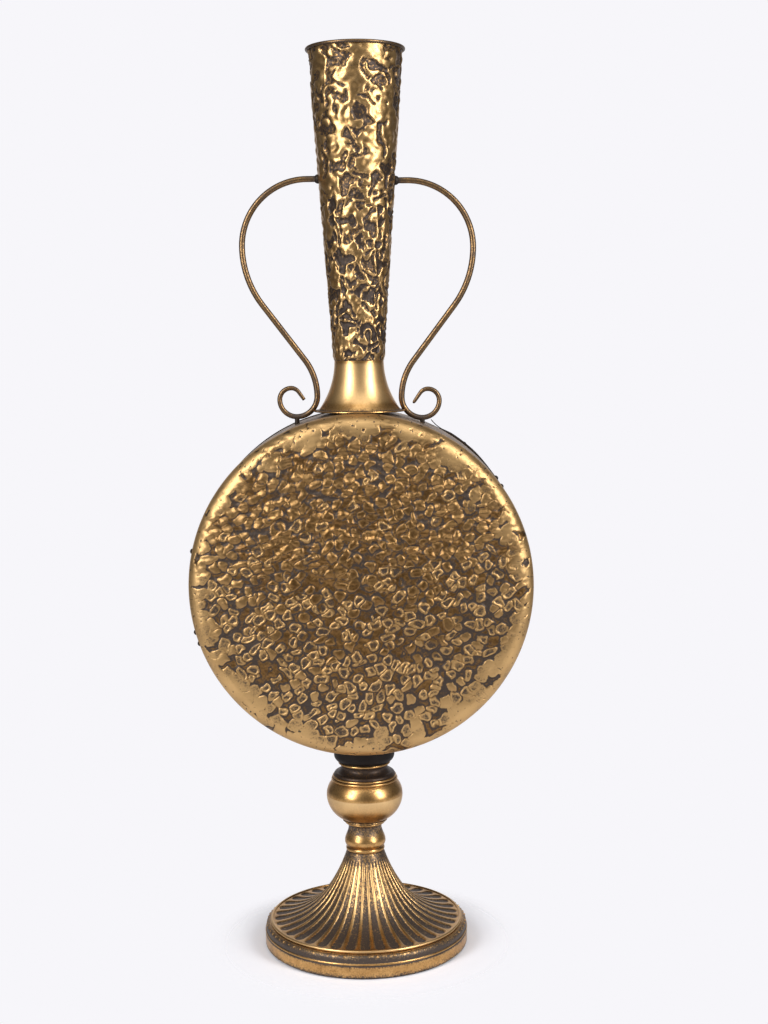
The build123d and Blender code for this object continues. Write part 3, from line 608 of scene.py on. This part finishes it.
# saucer: quarter-round underside and an upright wall; its top lies on the round of the flask
def saucerPiece():
    s = stem["saucer"]
    wallZ = s["z"] + s["curve"]
    # the saucer's patina, darkest on its wall, with its near-black brass is painted shadow: it sits
    # in the flask's shade
    curve = uprightArc(s["r"], wallZ, s["bottomR"], s["z"], *s["dark"])[::-1]
    section = outline(bored(curve + [(s["r"], wallZ + s["wallH"], 0, 1.0)]), 0.6)
    piece = turned("stemSaucer", section, 160)
    co = zeros(len(piece.data.vertices) * 3, np.float32)
    piece.data.vertices.foreach_get("co", co)
    co = co.reshape(-1, 3)
    roof = (flask["centreZ"] - sqrt(flask["radius"] ** 2 - (co[:, 0] / mm) ** 2)) * mm
    wallFrom = wallZ * mm
    share = clip((co[:, 2] - wallFrom) / (s["wallH"] * mm), 0, 1)
    co[:, 2] = where(co[:, 2] > wallFrom, wallFrom + share * (roof - wallFrom), co[:, 2])
    piece.data.vertices.foreach_set("co", co.ravel())
    piece.data.update()
    return piece


# a single bead round the stem
def beadPiece(name):
    b = stem[name]
    corners = beadCorners(b["faceR"], b["z"], b["z"] + b["h"], b["out"])
    return turned(name, outline(bored(corners), 0.4))


# spool: rounded shoulder, then a cove through three points
def spoolPiece():
    s = stem["spool"]
    neckZ = s["z"] + s["shoulderH"]
    shoulder = uprightArc(s["shoulderR"], s["z"], s["neckR"], neckZ, *s["dark"])
    z = linspace(neckZ, s["z"] + s["h"], 24)
    curve = np.polyfit([z[0], s["z"] + s["coveH"], z[-1]], [s["neckR"], s["coveR"], s["topR"]], 2)
    cove = [(rr, zz, 0, s["coveDark"]) for rr, zz in zip(np.polyval(curve, z), z)]
    return turned("upperSpool", outline(bored(shoulder + cove[1:])))


# two beads of one height, the upper one smaller
def ringsPiece():
    g = stem["rings"]
    midZ, topZ, out = g["z"] + g["h"], g["z"] + 2 * g["h"], g["h"] / 2
    lower = beadCorners(g["lowerR"], g["z"], midZ, out, g["lowerDark"])
    return turned("bulbRings", outline(bored(lower + beadCorners(g["upperR"], midZ, topZ, out))))


# bulb: two arcs that meet upright at its widest line, with a thin wall
def bulbPiece():
    q = stem["bulb"]
    mid, top = q["z"] + q["lower"], q["z"] + q["lower"] + q["upper"]
    lower = uprightArc(q["r"], mid, q["bottomR"], q["z"], *q["lowerDark"], 26)[::-1]
    upper = uprightArc(q["r"], mid, q["topR"], top, *q["upperDark"], 20)[1:]
    liner = [(r - q["wall"], clip(z, q["z"] + q["wall"], top - q["wall"]), 0, hidden)
             for r, z, _, _ in (lower + upper)[::-3]]
    return turned("stemBulb", outline(lower + upper + liner))


# cup: a bead, a wider ring and a lip under the bulb
def cupPiece():
    c = stem["cup"]
    ringZ, lipZ = c["z"] + c["beadH"], c["z"] + c["beadH"] + c["ringH"]
    beadOut, ringOut = c["beadH"] / 2, c["ringH"] / 2
    corners = beadCorners(c["beadR"] - beadOut, c["z"], ringZ, beadOut, c["beadDark"])
    corners += beadCorners(c["ringR"] - ringOut, ringZ, lipZ, ringOut, c["ringDark"])
    corners += [(stem["bulb"]["bottomR"], lipZ + c["lipH"], 0.2, c["lipDark"])]
    return turned("bulbCup", outline(bored(corners), 0.35))


# knop: the cubic through its four radii
def knopPiece():
    k = stem["knop"]
    z = linspace(0, k["h"], 40)
    r = np.polyval(np.polyfit([0, k["bellyH"], k["neckH"], k["h"]],
                              [k["footR"], k["bellyR"], k["neckR"], k["topR"]], 3), z)
    dark = 0.12 + 0.52 * ease(z, 6, 18) + 0.5 * exp(-z / 0.8)
    corners = [(rr, k["z"] + zz, 0, d) for rr, zz, d in zip(r, z, dark)]
    return turned("stemKnop", outline(bored(corners), 0.45))


stemSaucer, saucerBead, spool = saucerPiece(), beadPiece("saucerBead"), spoolPiece()
bulbRings, bulb, cup = ringsPiece(), bulbPiece(), cupPiece()
knop, knopBead = knopPiece(), beadPiece("knopBead")


# Foot: fluted trumpet with a beaded rim, standing on the plinth

foot = dict(
    rimZ=26.1, baseZ=23.9, midR=39.57, flareR=96.099, upperR=156.0, lowerR=69.0, topDeg=18.0,
    midDeg=35.0, lowerDrop=29.42, rimR=97.099, beadR=1.6, beadRows=16, wall=2.2, capT=2.5,
    flutes=38, perFlute=18, depth=0.9, startDeg=21.0, endDeg=88.4,
)


# a point of the flare by its slope from upright, moved off it:
# two arcs that share their tangent at the middle slope
def flarePoint(deg, off):
    f = foot
    turn, midTurn = radians(deg), radians(f["midDeg"])
    high = deg < f["midDeg"]
    r = where(high, f["midR"] - f["upperR"] * (cos(turn) - cos(midTurn)),
                 f["flareR"] - f["lowerR"] * cos(turn))
    z = where(high, f["rimZ"] + f["lowerDrop"] + f["upperR"] * (sin(midTurn) - sin(turn)),
                 f["rimZ"] + f["lowerR"] * (1 - sin(turn)))
    return r + off * cos(turn), z + off * sin(turn)


# every flute is a long slot with a round outer end, sunk into the flare by its distance
# to the slot's outline; run is the length from the rim up the flare
def flutedFoot():
    f = foot
    columns = f["flutes"] * f["perFlute"]
    angle = turns(columns)
    upper, lower = linspace(f["topDeg"], f["midDeg"], 44), linspace(f["midDeg"], 90, 74)
    deg = concatenate([upper[:-1], lower])[::-1][:, None]
    r0, z0 = flarePoint(deg, 0)
    run = runAlong(hstack([r0, z0]))[:, None]
    endRun, startRun = np.interp([f["endDeg"], f["startDeg"]], deg[::-1, 0], run[::-1, 0])
    pitch = fullTurn * r0 / f["flutes"]
    phase = abs((angle * f["flutes"] / fullTurn) % 1 - 0.5)[None, :] * pitch
    high = ease(run, 55, startRun)
    half = pitch * (0.335 - 0.13 * high)
    short = minimum(run - endRun, (startRun - run) * 0.35)
    gap = where(short < half, hypot(phase, half - short) - half, phase - half)
    sunk = ease(-gap, -0.45, 0.5)
    r, z = flarePoint(deg, -f["depth"] * (1 - 0.45 * high) * sunk)
    bare = ease(run, startRun - 11, startRun + 4)
    patina = sunk * (0.56 - 0.16 * ease(run, 38, 78)) + 0.50 * bare + 0.20 - 0.08 * high
    beadTurn = radians(linspace(-90, 156, f["beadRows"]))[:, None]
    beadR = f["rimR"] + f["beadR"] * cos(beadTurn)
    beadZ = f["baseZ"] + f["beadR"] + f["beadR"] * sin(beadTurn)
    beadDark = 0.55 * ease(-sin(beadTurn), 0.2, 0.9)
    topZ = flarePoint(array([f["topDeg"]]), 0)[1][0]
    inR, inZ = flarePoint(linspace(f["topDeg"], 90, 9), -f["wall"])
    capZ, bore = topZ - f["capT"], stem["boreR"]
    tail = array([(bore, topZ), (bore, capZ), (inR[0] - 0.3, capZ), *zip(inR[1:], inZ[1:])])
    allR = vstack([beadR + 0 * angle, r, tail[:, :1] + 0 * angle])
    allZ = vstack([beadZ + 0 * angle, z, tail[:, 1:] + 0 * angle])
    dark = vstack([beadDark + 0 * angle, clip(patina, 0, 1),
                      full((len(tail), columns), hidden)])
    wear = np.zeros_like(allR)
    flare, beadTop = slice(f["beadRows"], f["beadRows"] + len(r)), slice(5, 13)
    wear[flare] = (1 - sunk) * (1 - bare) * 0.35 * ease(run, 14, 45)
    wear[beadTop] = 0.5
    points = circled(allR, angle, allZ).reshape(-1, 3)
    quads = gridQuads(len(allR), columns, True, True)
    return makePiece("flutedFoot", points, quads, patina=dark, wear=wear)


footPiece = flutedFoot()

plinth = dict(
    r=104.0, z=1.6, bandTop=14.0, beadTop=16.2, beadOut=1.1, step=0.8, shoulderZ=19.4, topZ=23.9,
    shoulderR=4.5, ledgeR=84.1, wall=2.0, flange=16.0, grime=0.95,
    dots=78, dotZ=22.2, dotSize=0.85, dotSides=10, dotRises=(-40.0, 0.0, 35.0, 65.0),
)


# gold band, bead and rounded shoulder, with a ledge above and a flange below
def plinthPiece():
    p = plinth
    r, z, top, wall, grime = p["r"], p["z"], p["bandTop"], p["wall"], p["grime"]
    wallR, inR, flangeR, ledgeZ = r - p["step"], r - p["step"] - wall, r - p["flange"], p["topZ"]
    corners = [(r, z, 0.7, 0.60), (r, z + 3.0, 0, 0.34), (r, z + 5.5, 0, 0.16),
               (r, top - 3.5, 0, 0.18), (r, top - 1.6, 0, 0.45), (r, top - 1.1, 0, 0.85),
               (r, top, 0.3, grime), (wallR, top, 0, grime)]
    corners += beadCorners(wallR, top, p["beadTop"], p["beadOut"], 0.0, grime)
    turn, dark = radians(linspace(0, 90, 12)), linspace(0.80, 0.40, 12)
    corners += [(wallR - p["shoulderR"] * (1 - cos(t)),
                 p["shoulderZ"] + p["shoulderR"] * sin(t), 0, d) for t, d in zip(turn, dark)]
    corners += [(p["ledgeR"], ledgeZ, 0, hidden), (p["ledgeR"], ledgeZ - wall, 0, hidden),
                (inR, ledgeZ - wall, wall, hidden), (inR, z + wall, 0, hidden),
                (flangeR, z + wall, 0, hidden), (flangeR, z, 0, hidden)]
    return turned("plinthRing", outline(corners), 240)


plinthRing = plinthPiece()


# small domes in a row on the shoulder, each a half ellipsoid standing off the curve there
def shoulderDots():
    q = plinth
    tall, high, sides, levels = 1.25, 0.75, q["dotSides"], len(q["dotRises"])
    lean = np.arcsin((q["dotZ"] - q["shoulderZ"]) / q["shoulderR"])
    r0 = q["r"] - q["step"] - q["shoulderR"] * (1 - cos(lean))
    ring, rise = np.meshgrid(turns(sides), radians(q["dotRises"]))
    size = q["dotSize"] * np.random.default_rng(91).uniform(0.35, 1.25, (q["dots"], 1))
    side = append(cos(ring) * cos(rise), [0, 0]) * size  # the last two are the poles
    up = append(tall * sin(ring) * cos(rise), [0, 0]) * size
    out = append(high * sin(rise), [high, -high]) * size
    rr = r0 + out * cos(lean) - up * sin(lean)
    zz = q["dotZ"] + out * sin(lean) + up * cos(lean)
    c, s = cos(turns(q["dots"]))[:, None], sin(turns(q["dots"]))[:, None]
    points = stack([rr * c - side * s, rr * s + side * c, zz], -1).reshape(-1, 3)
    quads, loop, pole = gridQuads(levels, sides, False, True), arange(sides), levels * sides
    tris = concatenate([fanTris(loop + pole - sides, pole), fanTris(loop[::-1], pole + 1)])
    step = (arange(q["dots"]) * (pole + 2))[:, None, None]
    return makePiece("shoulderDots", points, (quads[None] + step).reshape(-1, 4),
                     (tris[None] + step).reshape(-1, 3), patina=full(len(points), 0.30))


dots = shoulderDots()


# Handles: one bent rod each, thinner along the scroll

handle = dict(
    seatZ=535.198, pegH=2.3, rise=232.769, reach=113.894, neckGap=0.3, lifts={-1: 5.0, 1: 2.8},
    sides=20, spacing=1.6,
    bends=[(65.0, -90.0), (95.0, -37.0), (None, 67.6), (60.0, 37.0), (20.5, 90.0), (17.0, 90.0),
           (11.5, 90.0), (9.0, 55.0), (None, 9.7)],
    radii=[3.0, 3.0, 3.0, 3.0, 3.0, 2.6, 2.5, 2.3, 2.0, 1.7],   # at the start and after each bend
)


# points and left-hand normals along straight runs (None, length) and arcs (radius, degrees),
# one joined to the next, with the length at each join
def bentPath(start, heading, bends, spacing):
    p, h = array(start, float), array(heading, float)
    points, normals, stops = [], [], [0.0]
    for radius, amount in bends:
        left = array([-h[1], h[0]])
        length = amount if radius is None else abs(radians(amount)) * radius
        t = linspace(0, 1, max(int(length / spacing), 3), endpoint=False)[:, None]
        if radius is None:
            points.append(p + h * length * t)
            normals.append(left + 0 * t)
            p = p + h * length
        else:
            turn = radians(amount)
            sign = np.sign(turn)
            hub = p + left * radius * sign
            a = append(turn * t, turn)[:, None]
            spun = hstack([left[0] * cos(a) - left[1] * sin(a),
                              left[0] * sin(a) + left[1] * cos(a)])
            normals.append(spun[:-1])
            points.append(hub - spun[:-1] * radius * sign)
            p, h = hub - spun[-1] * radius * sign, array([spun[-1, 1], -spun[-1, 0]])
        stops.append(stops[-1] + length)
    points.append(p[None])
    normals.append(array([[-h[1], h[0]]]))
    return vstack(points), vstack(normals), array(stops)


# the rod starts level at the neck, goes over the shoulder, down past the waist and round the scroll
def bentHandle(name, side):
    q, k = handle, neck
    topZ = q["seatZ"] + q["lifts"][side] + q["pegH"] + q["rise"]
    neckR = mix((topZ - k["footZ"]) / (k["topZ"] - k["footZ"]), k["footR"], k["topR"])
    startR, firstBend = neckR + q["neckGap"], q["bends"][0][0]
    bends = [(None, q["reach"] - firstBend - startR)] + q["bends"]
    path, normal, stops = bentPath((startR, topZ), (1, 0), bends, q["spacing"])
    run = runAlong(path)
    radius = np.interp(run, stops, [q["radii"][0]] + q["radii"])
    section = circled(1.0, turns(q["sides"]), 0)[:, :2]
    dark = 0.40 + 0.55 * exp(-run / 5.0)  # darker at the neck and where the rod is brazed
    dark = dark + 0.35 * bell(run, stops[6], 9.0)
    flip = array([side, 1.0])
    return carried(name, path * flip, normal * flip, section, stack([radius, radius], -1),
                   radius[0], patina=dark)


leftHandle, rightHandle = bentHandle("leftHandle", -1), bentHandle("rightHandle", 1)


# Strap over the rear seam, its upper end sprung off the flask

strap = dict(width=8.0, thick=0.8, rounding=0.3, lapDeg=30.0, endGapDeg=2.0, tail=15.0, tailR=40.0,
             lapThick=1.2, lapEndDeg=54.0)


# hoop of the flask's radius, doubled at the lap, then a tail that bends away on its own radius
def seamStrap():
    q = strap
    r = flask["radius"] + q["thick"] / 2
    lap = radians(q["lapDeg"])
    c, s = cos(lap), sin(lap)
    first = array([r * s, flask["centreZ"] + r * c])
    tailBend = (q["tailR"], -np.degrees(q["tail"] / q["tailR"]))
    hoopBend = (r, -(360.0 - q["lapDeg"] - q["endGapDeg"]))
    tail, tailNormal, _ = bentPath(first, (-c, s), [tailBend], 1.0)
    hoopPath, hoopNormal, _ = bentPath(first, (c, -s), [hoopBend], 2.0)
    path = vstack([tail[::-1], hoopPath[1:]])
    normal = vstack([-tailNormal[::-1], hoopNormal[1:]])
    fromTop = np.degrees(np.arctan2(path[:, 0], path[:, 1] - flask["centreZ"]))
    doubled = ease(fromTop, q["lapDeg"] - 1, q["lapDeg"] + 4)
    doubled = doubled * ease(fromTop, q["lapEndDeg"], q["lapEndDeg"] - 12)
    path = path + normal * (q["lapThick"] / 2 * doubled)[:, None]
    scale = stack([1 + q["lapThick"] / q["thick"] * doubled, np.ones(len(path))], -1)
    w, t, e = q["width"] / 2, q["thick"] / 2, q["rounding"]
    section = array([(t, -w + e), (t, 0), (t, w - e), (t - e, w), (-t + e, w), (-t, w - e),
                        (-t, 0), (-t, -w + e), (-t + e, -w), (t - e, -w)])
    # the strap's near-black patina is its own dark metal and also the painted shadow of the gap
    # under its sprung end
    return carried("seamStrap", path, normal, section, scale, 1.2, flask["bandHalf"],
                   patina=full(len(path), 0.9))


strapPiece = seamStrap()


# Materials

# empties a node tree and gives the function that adds one node to it: sockets get a value,
# a link or a node's first output in use, and everything else is set on the node
def emptied(owner):
    owner.use_nodes = True
    tree = owner.node_tree
    tree.nodes.clear()

    def add(kind, sockets=None, **settings):
        node = tree.nodes.new("ShaderNode" + kind)
        for key, value in settings.items():
            setattr(node, key, value)
        for key, value in (sockets or {}).items():
            if isinstance(value, bpy.types.Node):
                value = next(out for out in value.outputs if out.enabled)
            if isinstance(value, bpy.types.NodeSocket):
                tree.links.new(value, node.inputs[key])
            else:
                node.inputs[key].default_value = value
        return node

    return add


# Antique brass: warm metal under a dark sulphide patina that stays in corners and is rubbed
# off crests. The eye gets satin gold highlights, speckled at the edge of the patina, and matt
# brown-black hollows. The colours are gold, deep gold, worn gold and patina; the worn gold is
# paler, partly real rubbing and partly a painted highlight where crests and edges catch light.
def antiqueBrass(name, colours, rough, speck, cloud, bias=0.0):
    material = bpy.data.materials.new(name)
    add = emptied(material)
    gold, deep, worn, dark = (hexColour(code) for code in colours)
    place = add("TexCoord").outputs["Object"]
    patina = add("Attribute", attribute_name="patina").outputs["Fac"]
    wear = add("Attribute", attribute_name="wear").outputs["Fac"]
    # clouds of 16 mm; the two grains are coarser than real ones, so that they show
    blotch = add("TexNoise", {"Vector": place, "Scale": 1000 / 16, "Detail": 4.0, "Roughness": 0.6})
    grain = add("TexNoise", {"Vector": place, "Scale": 1000 / 1.7, "Detail": 2.0})
    satin = add("TexNoise", {"Vector": place, "Scale": 1000 / 1.3, "Detail": 1.0})
    clouded = add("Math", {0: blotch, 1: cloud, 2: bias - 0.5 * cloud}, operation="MULTIPLY_ADD")
    specked = add("Math", {0: grain, 1: speck, 2: -0.5 * speck}, operation="MULTIPLY_ADD")
    noisy = add("Math", {0: clouded, 1: specked}, operation="ADD")
    total = add("Math", {0: patina, 1: noisy}, operation="ADD")
    mask = add("MapRange", {"Value": total, "From Min": 0.20, "From Max": 0.76},
               interpolation_type="SMOOTHSTEP")
    flecked = add("Math", {0: grain, 1: 0.6, 2: blotch}, operation="MULTIPLY_ADD")
    tone = add("MapRange", {"Value": flecked, "From Min": 0.58, "From Max": 1.06})
    ground = add("Mix", {"Factor": tone, 6: gold, 7: deep}, data_type="RGBA")
    # paler worn gold on crests and rubbed places: real wear, and painted highlight and painted
    # reflection
    rubbedAndHighlit = add("Mix", {"Factor": wear, 6: ground, 7: worn}, data_type="RGBA")
    colour = add("Mix", {"Factor": mask, 6: rubbedAndHighlit, 7: dark}, data_type="RGBA")
    plainRough = add("MapRange", {"Value": wear, "To Min": rough[0], "To Max": rough[0] + 0.14})
    roughness = add("Mix", {"Factor": mask, 2: plainRough, 3: rough[1]})
    metal = add("MapRange", {"Value": mask, "To Min": 1.0, "To Max": 0.70})
    bump = add("Bump", {"Height": satin, "Strength": 0.35, "Distance": 0.12 * mm})
    shader = add("BsdfPrincipled", {"Base Color": colour, "Roughness": roughness,
                                    "Metallic": metal, "Normal": bump})
    add("OutputMaterial", {"Surface": shader})
    return material


# worn gold, paler than the rest: real rubbing, and a painted highlight on crests
wornAndHighlightTone, darkTone = "#E2C08C", "#4C423B"
faceBrass = antiqueBrass("pressed_face_brass", ("#84633A", "#674B2D", "#DBB57D", "#40362F"),
                         (0.38, 0.52), 0.85, 0.36)
neckBrass = antiqueBrass("pressed_neck_brass", ("#B48B55", "#8C693C", wornAndHighlightTone, "#3A302A"),
                         (0.31, 0.50), 0.95, 0.36)
satinBrass = antiqueBrass("satin_antique_brass", ("#D2A76C", "#A57B48", wornAndHighlightTone, darkTone),
                          (0.31, 0.50), 1.05, 0.34)
rodBrass = antiqueBrass("drawn_brass_rod", ("#8F714C", "#6C5439", wornAndHighlightTone, darkTone),
                        (0.34, 0.50), 0.70, 0.40)
darkBrass = antiqueBrass("darkened_brass", ("#86663E", "#6B5136", wornAndHighlightTone, "#3F332C"),
                         (0.36, 0.46), 1.20, 0.30, 0.45)
# near-black brass for the saucer: painted shadow under the flask
shadowedSaucerBrass = antiqueBrass("shadow_painted_brass", ("#5B442B", "#4A3725", wornAndHighlightTone, "#1B1512"),
                         (0.42, 0.52), 0.60, 0.30, 0.60)
weldBrass = antiqueBrass("smoked_braze", ("#86663E", "#6B5136", wornAndHighlightTone, "#2E2620"),
                         (0.46, 0.56), 0.30, 0.30, 0.85)


# Zinc-plated steel is pale, slightly mottled, cool grey, with a spangle of 3 mm;
# wool felt is matt black-brown with a short fuzzy fibre, in tufts of 1.2 mm
def mottled(name, texture, pattern, colours, rough, metallic, fuzz):
    material = bpy.data.materials.new(name)
    add = emptied(material)
    mottle = add(texture, {"Vector": add("TexCoord").outputs["Object"], **pattern})
    one, other = (hexColour(code) for code in colours)
    tint = add("Mix", {"Factor": mottle, 6: one, 7: other}, data_type="RGBA")
    roughness = add("MapRange", {"Value": mottle, "To Min": rough[0], "To Max": rough[1]})
    bump = add("Bump", {"Height": mottle, "Strength": fuzz, "Distance": 0.4 * mm})
    shader = add("BsdfPrincipled", {"Base Color": tint, "Roughness": roughness,
                                    "Metallic": metallic, "Normal": bump})
    add("OutputMaterial", {"Surface": shader})
    return material


steel = mottled("zinc_plated_steel", "TexVoronoi", {"Scale": 1000 / 3.0},
                ("#B9BABD", "#9A9CA1"), (0.3, 0.5), 1.0, 0.0)
felt = mottled("wool_felt", "TexNoise", {"Scale": 1000 / 1.2, "Detail": 5.0, "Distortion": 1.5},
               ("#1C1B20", "#34323A"), (0.95, 0.95), 0.0, 0.6)

# every new piece by its material and the record's slot, with the CAD node it stands for
dressing = {
    (faceBrass, "embossed_brass"): [*((half, "front_face") for half in frontHalves),
                                    *((half, "back_face") for half in backHalves)],
    (neckBrass, "embossed_brass"): [(neckSheet, "neck_tube")],
    (satinBrass, "satin_brass"): [
        (hoop, "side_band"), (neckCollar, "neck_collar"), (saucerBead, "saucer_bead"),
        (bulbRings, "bulb_collar"), (bulb, "stem_bulb"), (cup, "bulb_cup"), (knop, "stem_knop"),
        (knopBead, "knop_bead"), (footPiece, "fluted_foot"), (plinthRing, "plinth_ring")],
    (rodBrass, "satin_brass"): [(mouthRing, "mouth_ring"), (leftHandle, "left_handle"),
                                (rightHandle, "right_handle")],
    (shadowedSaucerBrass, "dark_patina"): [(stemSaucer, "stem_saucer")],
    (darkBrass, "dark_patina"): [(spool, "upper_spool")],
    (weldBrass, "dark_patina"): [(strapPiece, "seam_strap")],
}
for (material, slotName), group in dressing.items():
    for piece, node in group:
        piece.data.materials.append(material)
        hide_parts(node)
dots.data.materials.append(satinBrass)
keptNodes = {
    steel: ("tie_rod", "upper_nut", "lower_nut", "lower_washer", "saddle_plate"),
    felt: ("base_pad",), weldBrass: ("seam_dabs", "handle_neck_welds", "scroll_welds"),
}
for material, nodes in keptNodes.items():
    for node in nodes:
        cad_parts[node].data.materials.clear()
        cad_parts[node].data.materials.append(material)
print("materials set")


# Studio: pale floor that fades into a white backdrop, two tall soft boxes, one box above
# and a dim room in front; these sizes are in metres

studio = dict(
    backdrop="#F7F6FA", floor="#E6E5E9", floorR=3.0, floorZ=-0.0002, floorSides=96,
    fade=(0.102, 0.17), mirrorFade=(0.8, 1.3), room=0.12, fill=0.28,
    aim=(0.0, 0.0, 0.45), boxDistance=1.9,
    # azimuth, elevation, width, height, watts
    boxes=dict(leftBox=(-43.0, 22.0, 0.50, 1.6, 36.0), rightBox=(52.0, 22.0, 0.50, 1.6, 36.0),
               topBox=(4.0, 60.0, 1.3, 0.7, 7.0)),
)
floorPoints = circled(studio["floorR"], turns(studio["floorSides"]), studio["floorZ"])
floorMesh = bpy.data.meshes.new("floor")
floorMesh.from_pydata(floorPoints.tolist(), [], [list(range(studio["floorSides"]))])
floor = placed("floor", floorMesh)


# Studio paper: matt and pale; it takes the shadow, then thins out with distance
# so that no edge shows
def studioPaper(name):
    material = bpy.data.materials.new(name)
    add = emptied(material)
    away = add("VectorMath", {0: add("TexCoord").outputs["Object"]}, operation="LENGTH")
    seen, mirrored = (
        add("MapRange", {"Value": away.outputs["Value"], "From Min": low, "From Max": high},
            interpolation_type="SMOOTHSTEP")
        for low, high in (studio["fade"], studio["mirrorFade"]))
    direct = add("LightPath").outputs["Is Camera Ray"]
    thin = add("Mix", {"Factor": direct, 2: mirrored, 3: seen})
    matt = add("BsdfDiffuse", {"Color": hexColour(studio["floor"])})
    blend = add("MixShader", {0: thin, 1: matt, 2: add("BsdfTransparent")})
    add("OutputMaterial", {"Surface": blend})
    return material


floorMesh.materials.append(studioPaper("studio_paper"))

# white to the camera; to the metal, a bright wall behind and a dim room in front
world = bpy.data.worlds.new("studio")
bpy.context.scene.world = world
add = emptied(world)
rays = add("LightPath").outputs
way = add("SeparateXYZ", {0: add("TexCoord").outputs["Generated"]}).outputs["Y"]
behind = add("MapRange", {"Value": way, "From Min": 0.70, "From Max": 0.96,
                          "To Min": studio["room"], "To Max": 1.0}, interpolation_type="SMOOTHSTEP")
shiny = add("Math", {0: rays["Is Glossy Ray"], 1: rays["Is Transmission Ray"]}, operation="MAXIMUM")
soft = add("Mix", {"Factor": shiny, 2: studio["fill"], 3: behind})
level = add("Mix", {"Factor": rays["Is Camera Ray"], 2: soft, 3: 1.0})
sky = add("Background", {"Color": hexColour(studio["backdrop"]), "Strength": level})
add("OutputWorld", {"Surface": sky})


# a matrix from three axes and a place
def standing(right, up, back, place):
    axes = stack([right, up, back], -1).tolist()
    return Matrix([[*row, at] for row, at in zip(axes, place)] + [[0, 0, 0, 1]])


for name, (azimuth, elevation, width, height, watts) in studio["boxes"].items():
    az, el = radians(azimuth), radians(elevation)
    back = array([sin(az) * cos(el), -cos(az) * cos(el), sin(el)])
    side = np.cross([0, 0, 1], back)
    side /= np.linalg.norm(side)
    light = bpy.data.lights.new(name, "AREA")
    light.shape, light.size, light.size_y, light.energy = "RECTANGLE", width, height, watts
    spot = array(studio["aim"]) + back * studio["boxDistance"]
    placed(name, light).matrix_world = standing(side, np.cross(back, side), back, spot.tolist())

view = dict(eye=(23.1, -1547.7, 624.8), downDeg=6.6, rollDeg=0.65, lens=54.49, sensor=36.0,
            reach=50.0)
down, roll = radians(view["downDeg"]), radians(view["rollDeg"])
right, up = array([1, 0, 0]), array([0, sin(down), cos(down)])
back = array([0, -cos(down), sin(down)])
right, up = right * cos(roll) - up * sin(roll), up * cos(roll) + right * sin(roll)
cameraData = bpy.data.cameras.new("camera")
cameraData.lens, cameraData.sensor_width = view["lens"], view["sensor"]
cameraData.clip_end = view["reach"]
camera = placed("camera", cameraData)
camera.matrix_world = standing(right, up, back, [at * mm for at in view["eye"]])
bpy.context.scene.camera = camera
bpy.context.scene.view_settings.view_transform = "Standard"
print("studio set")
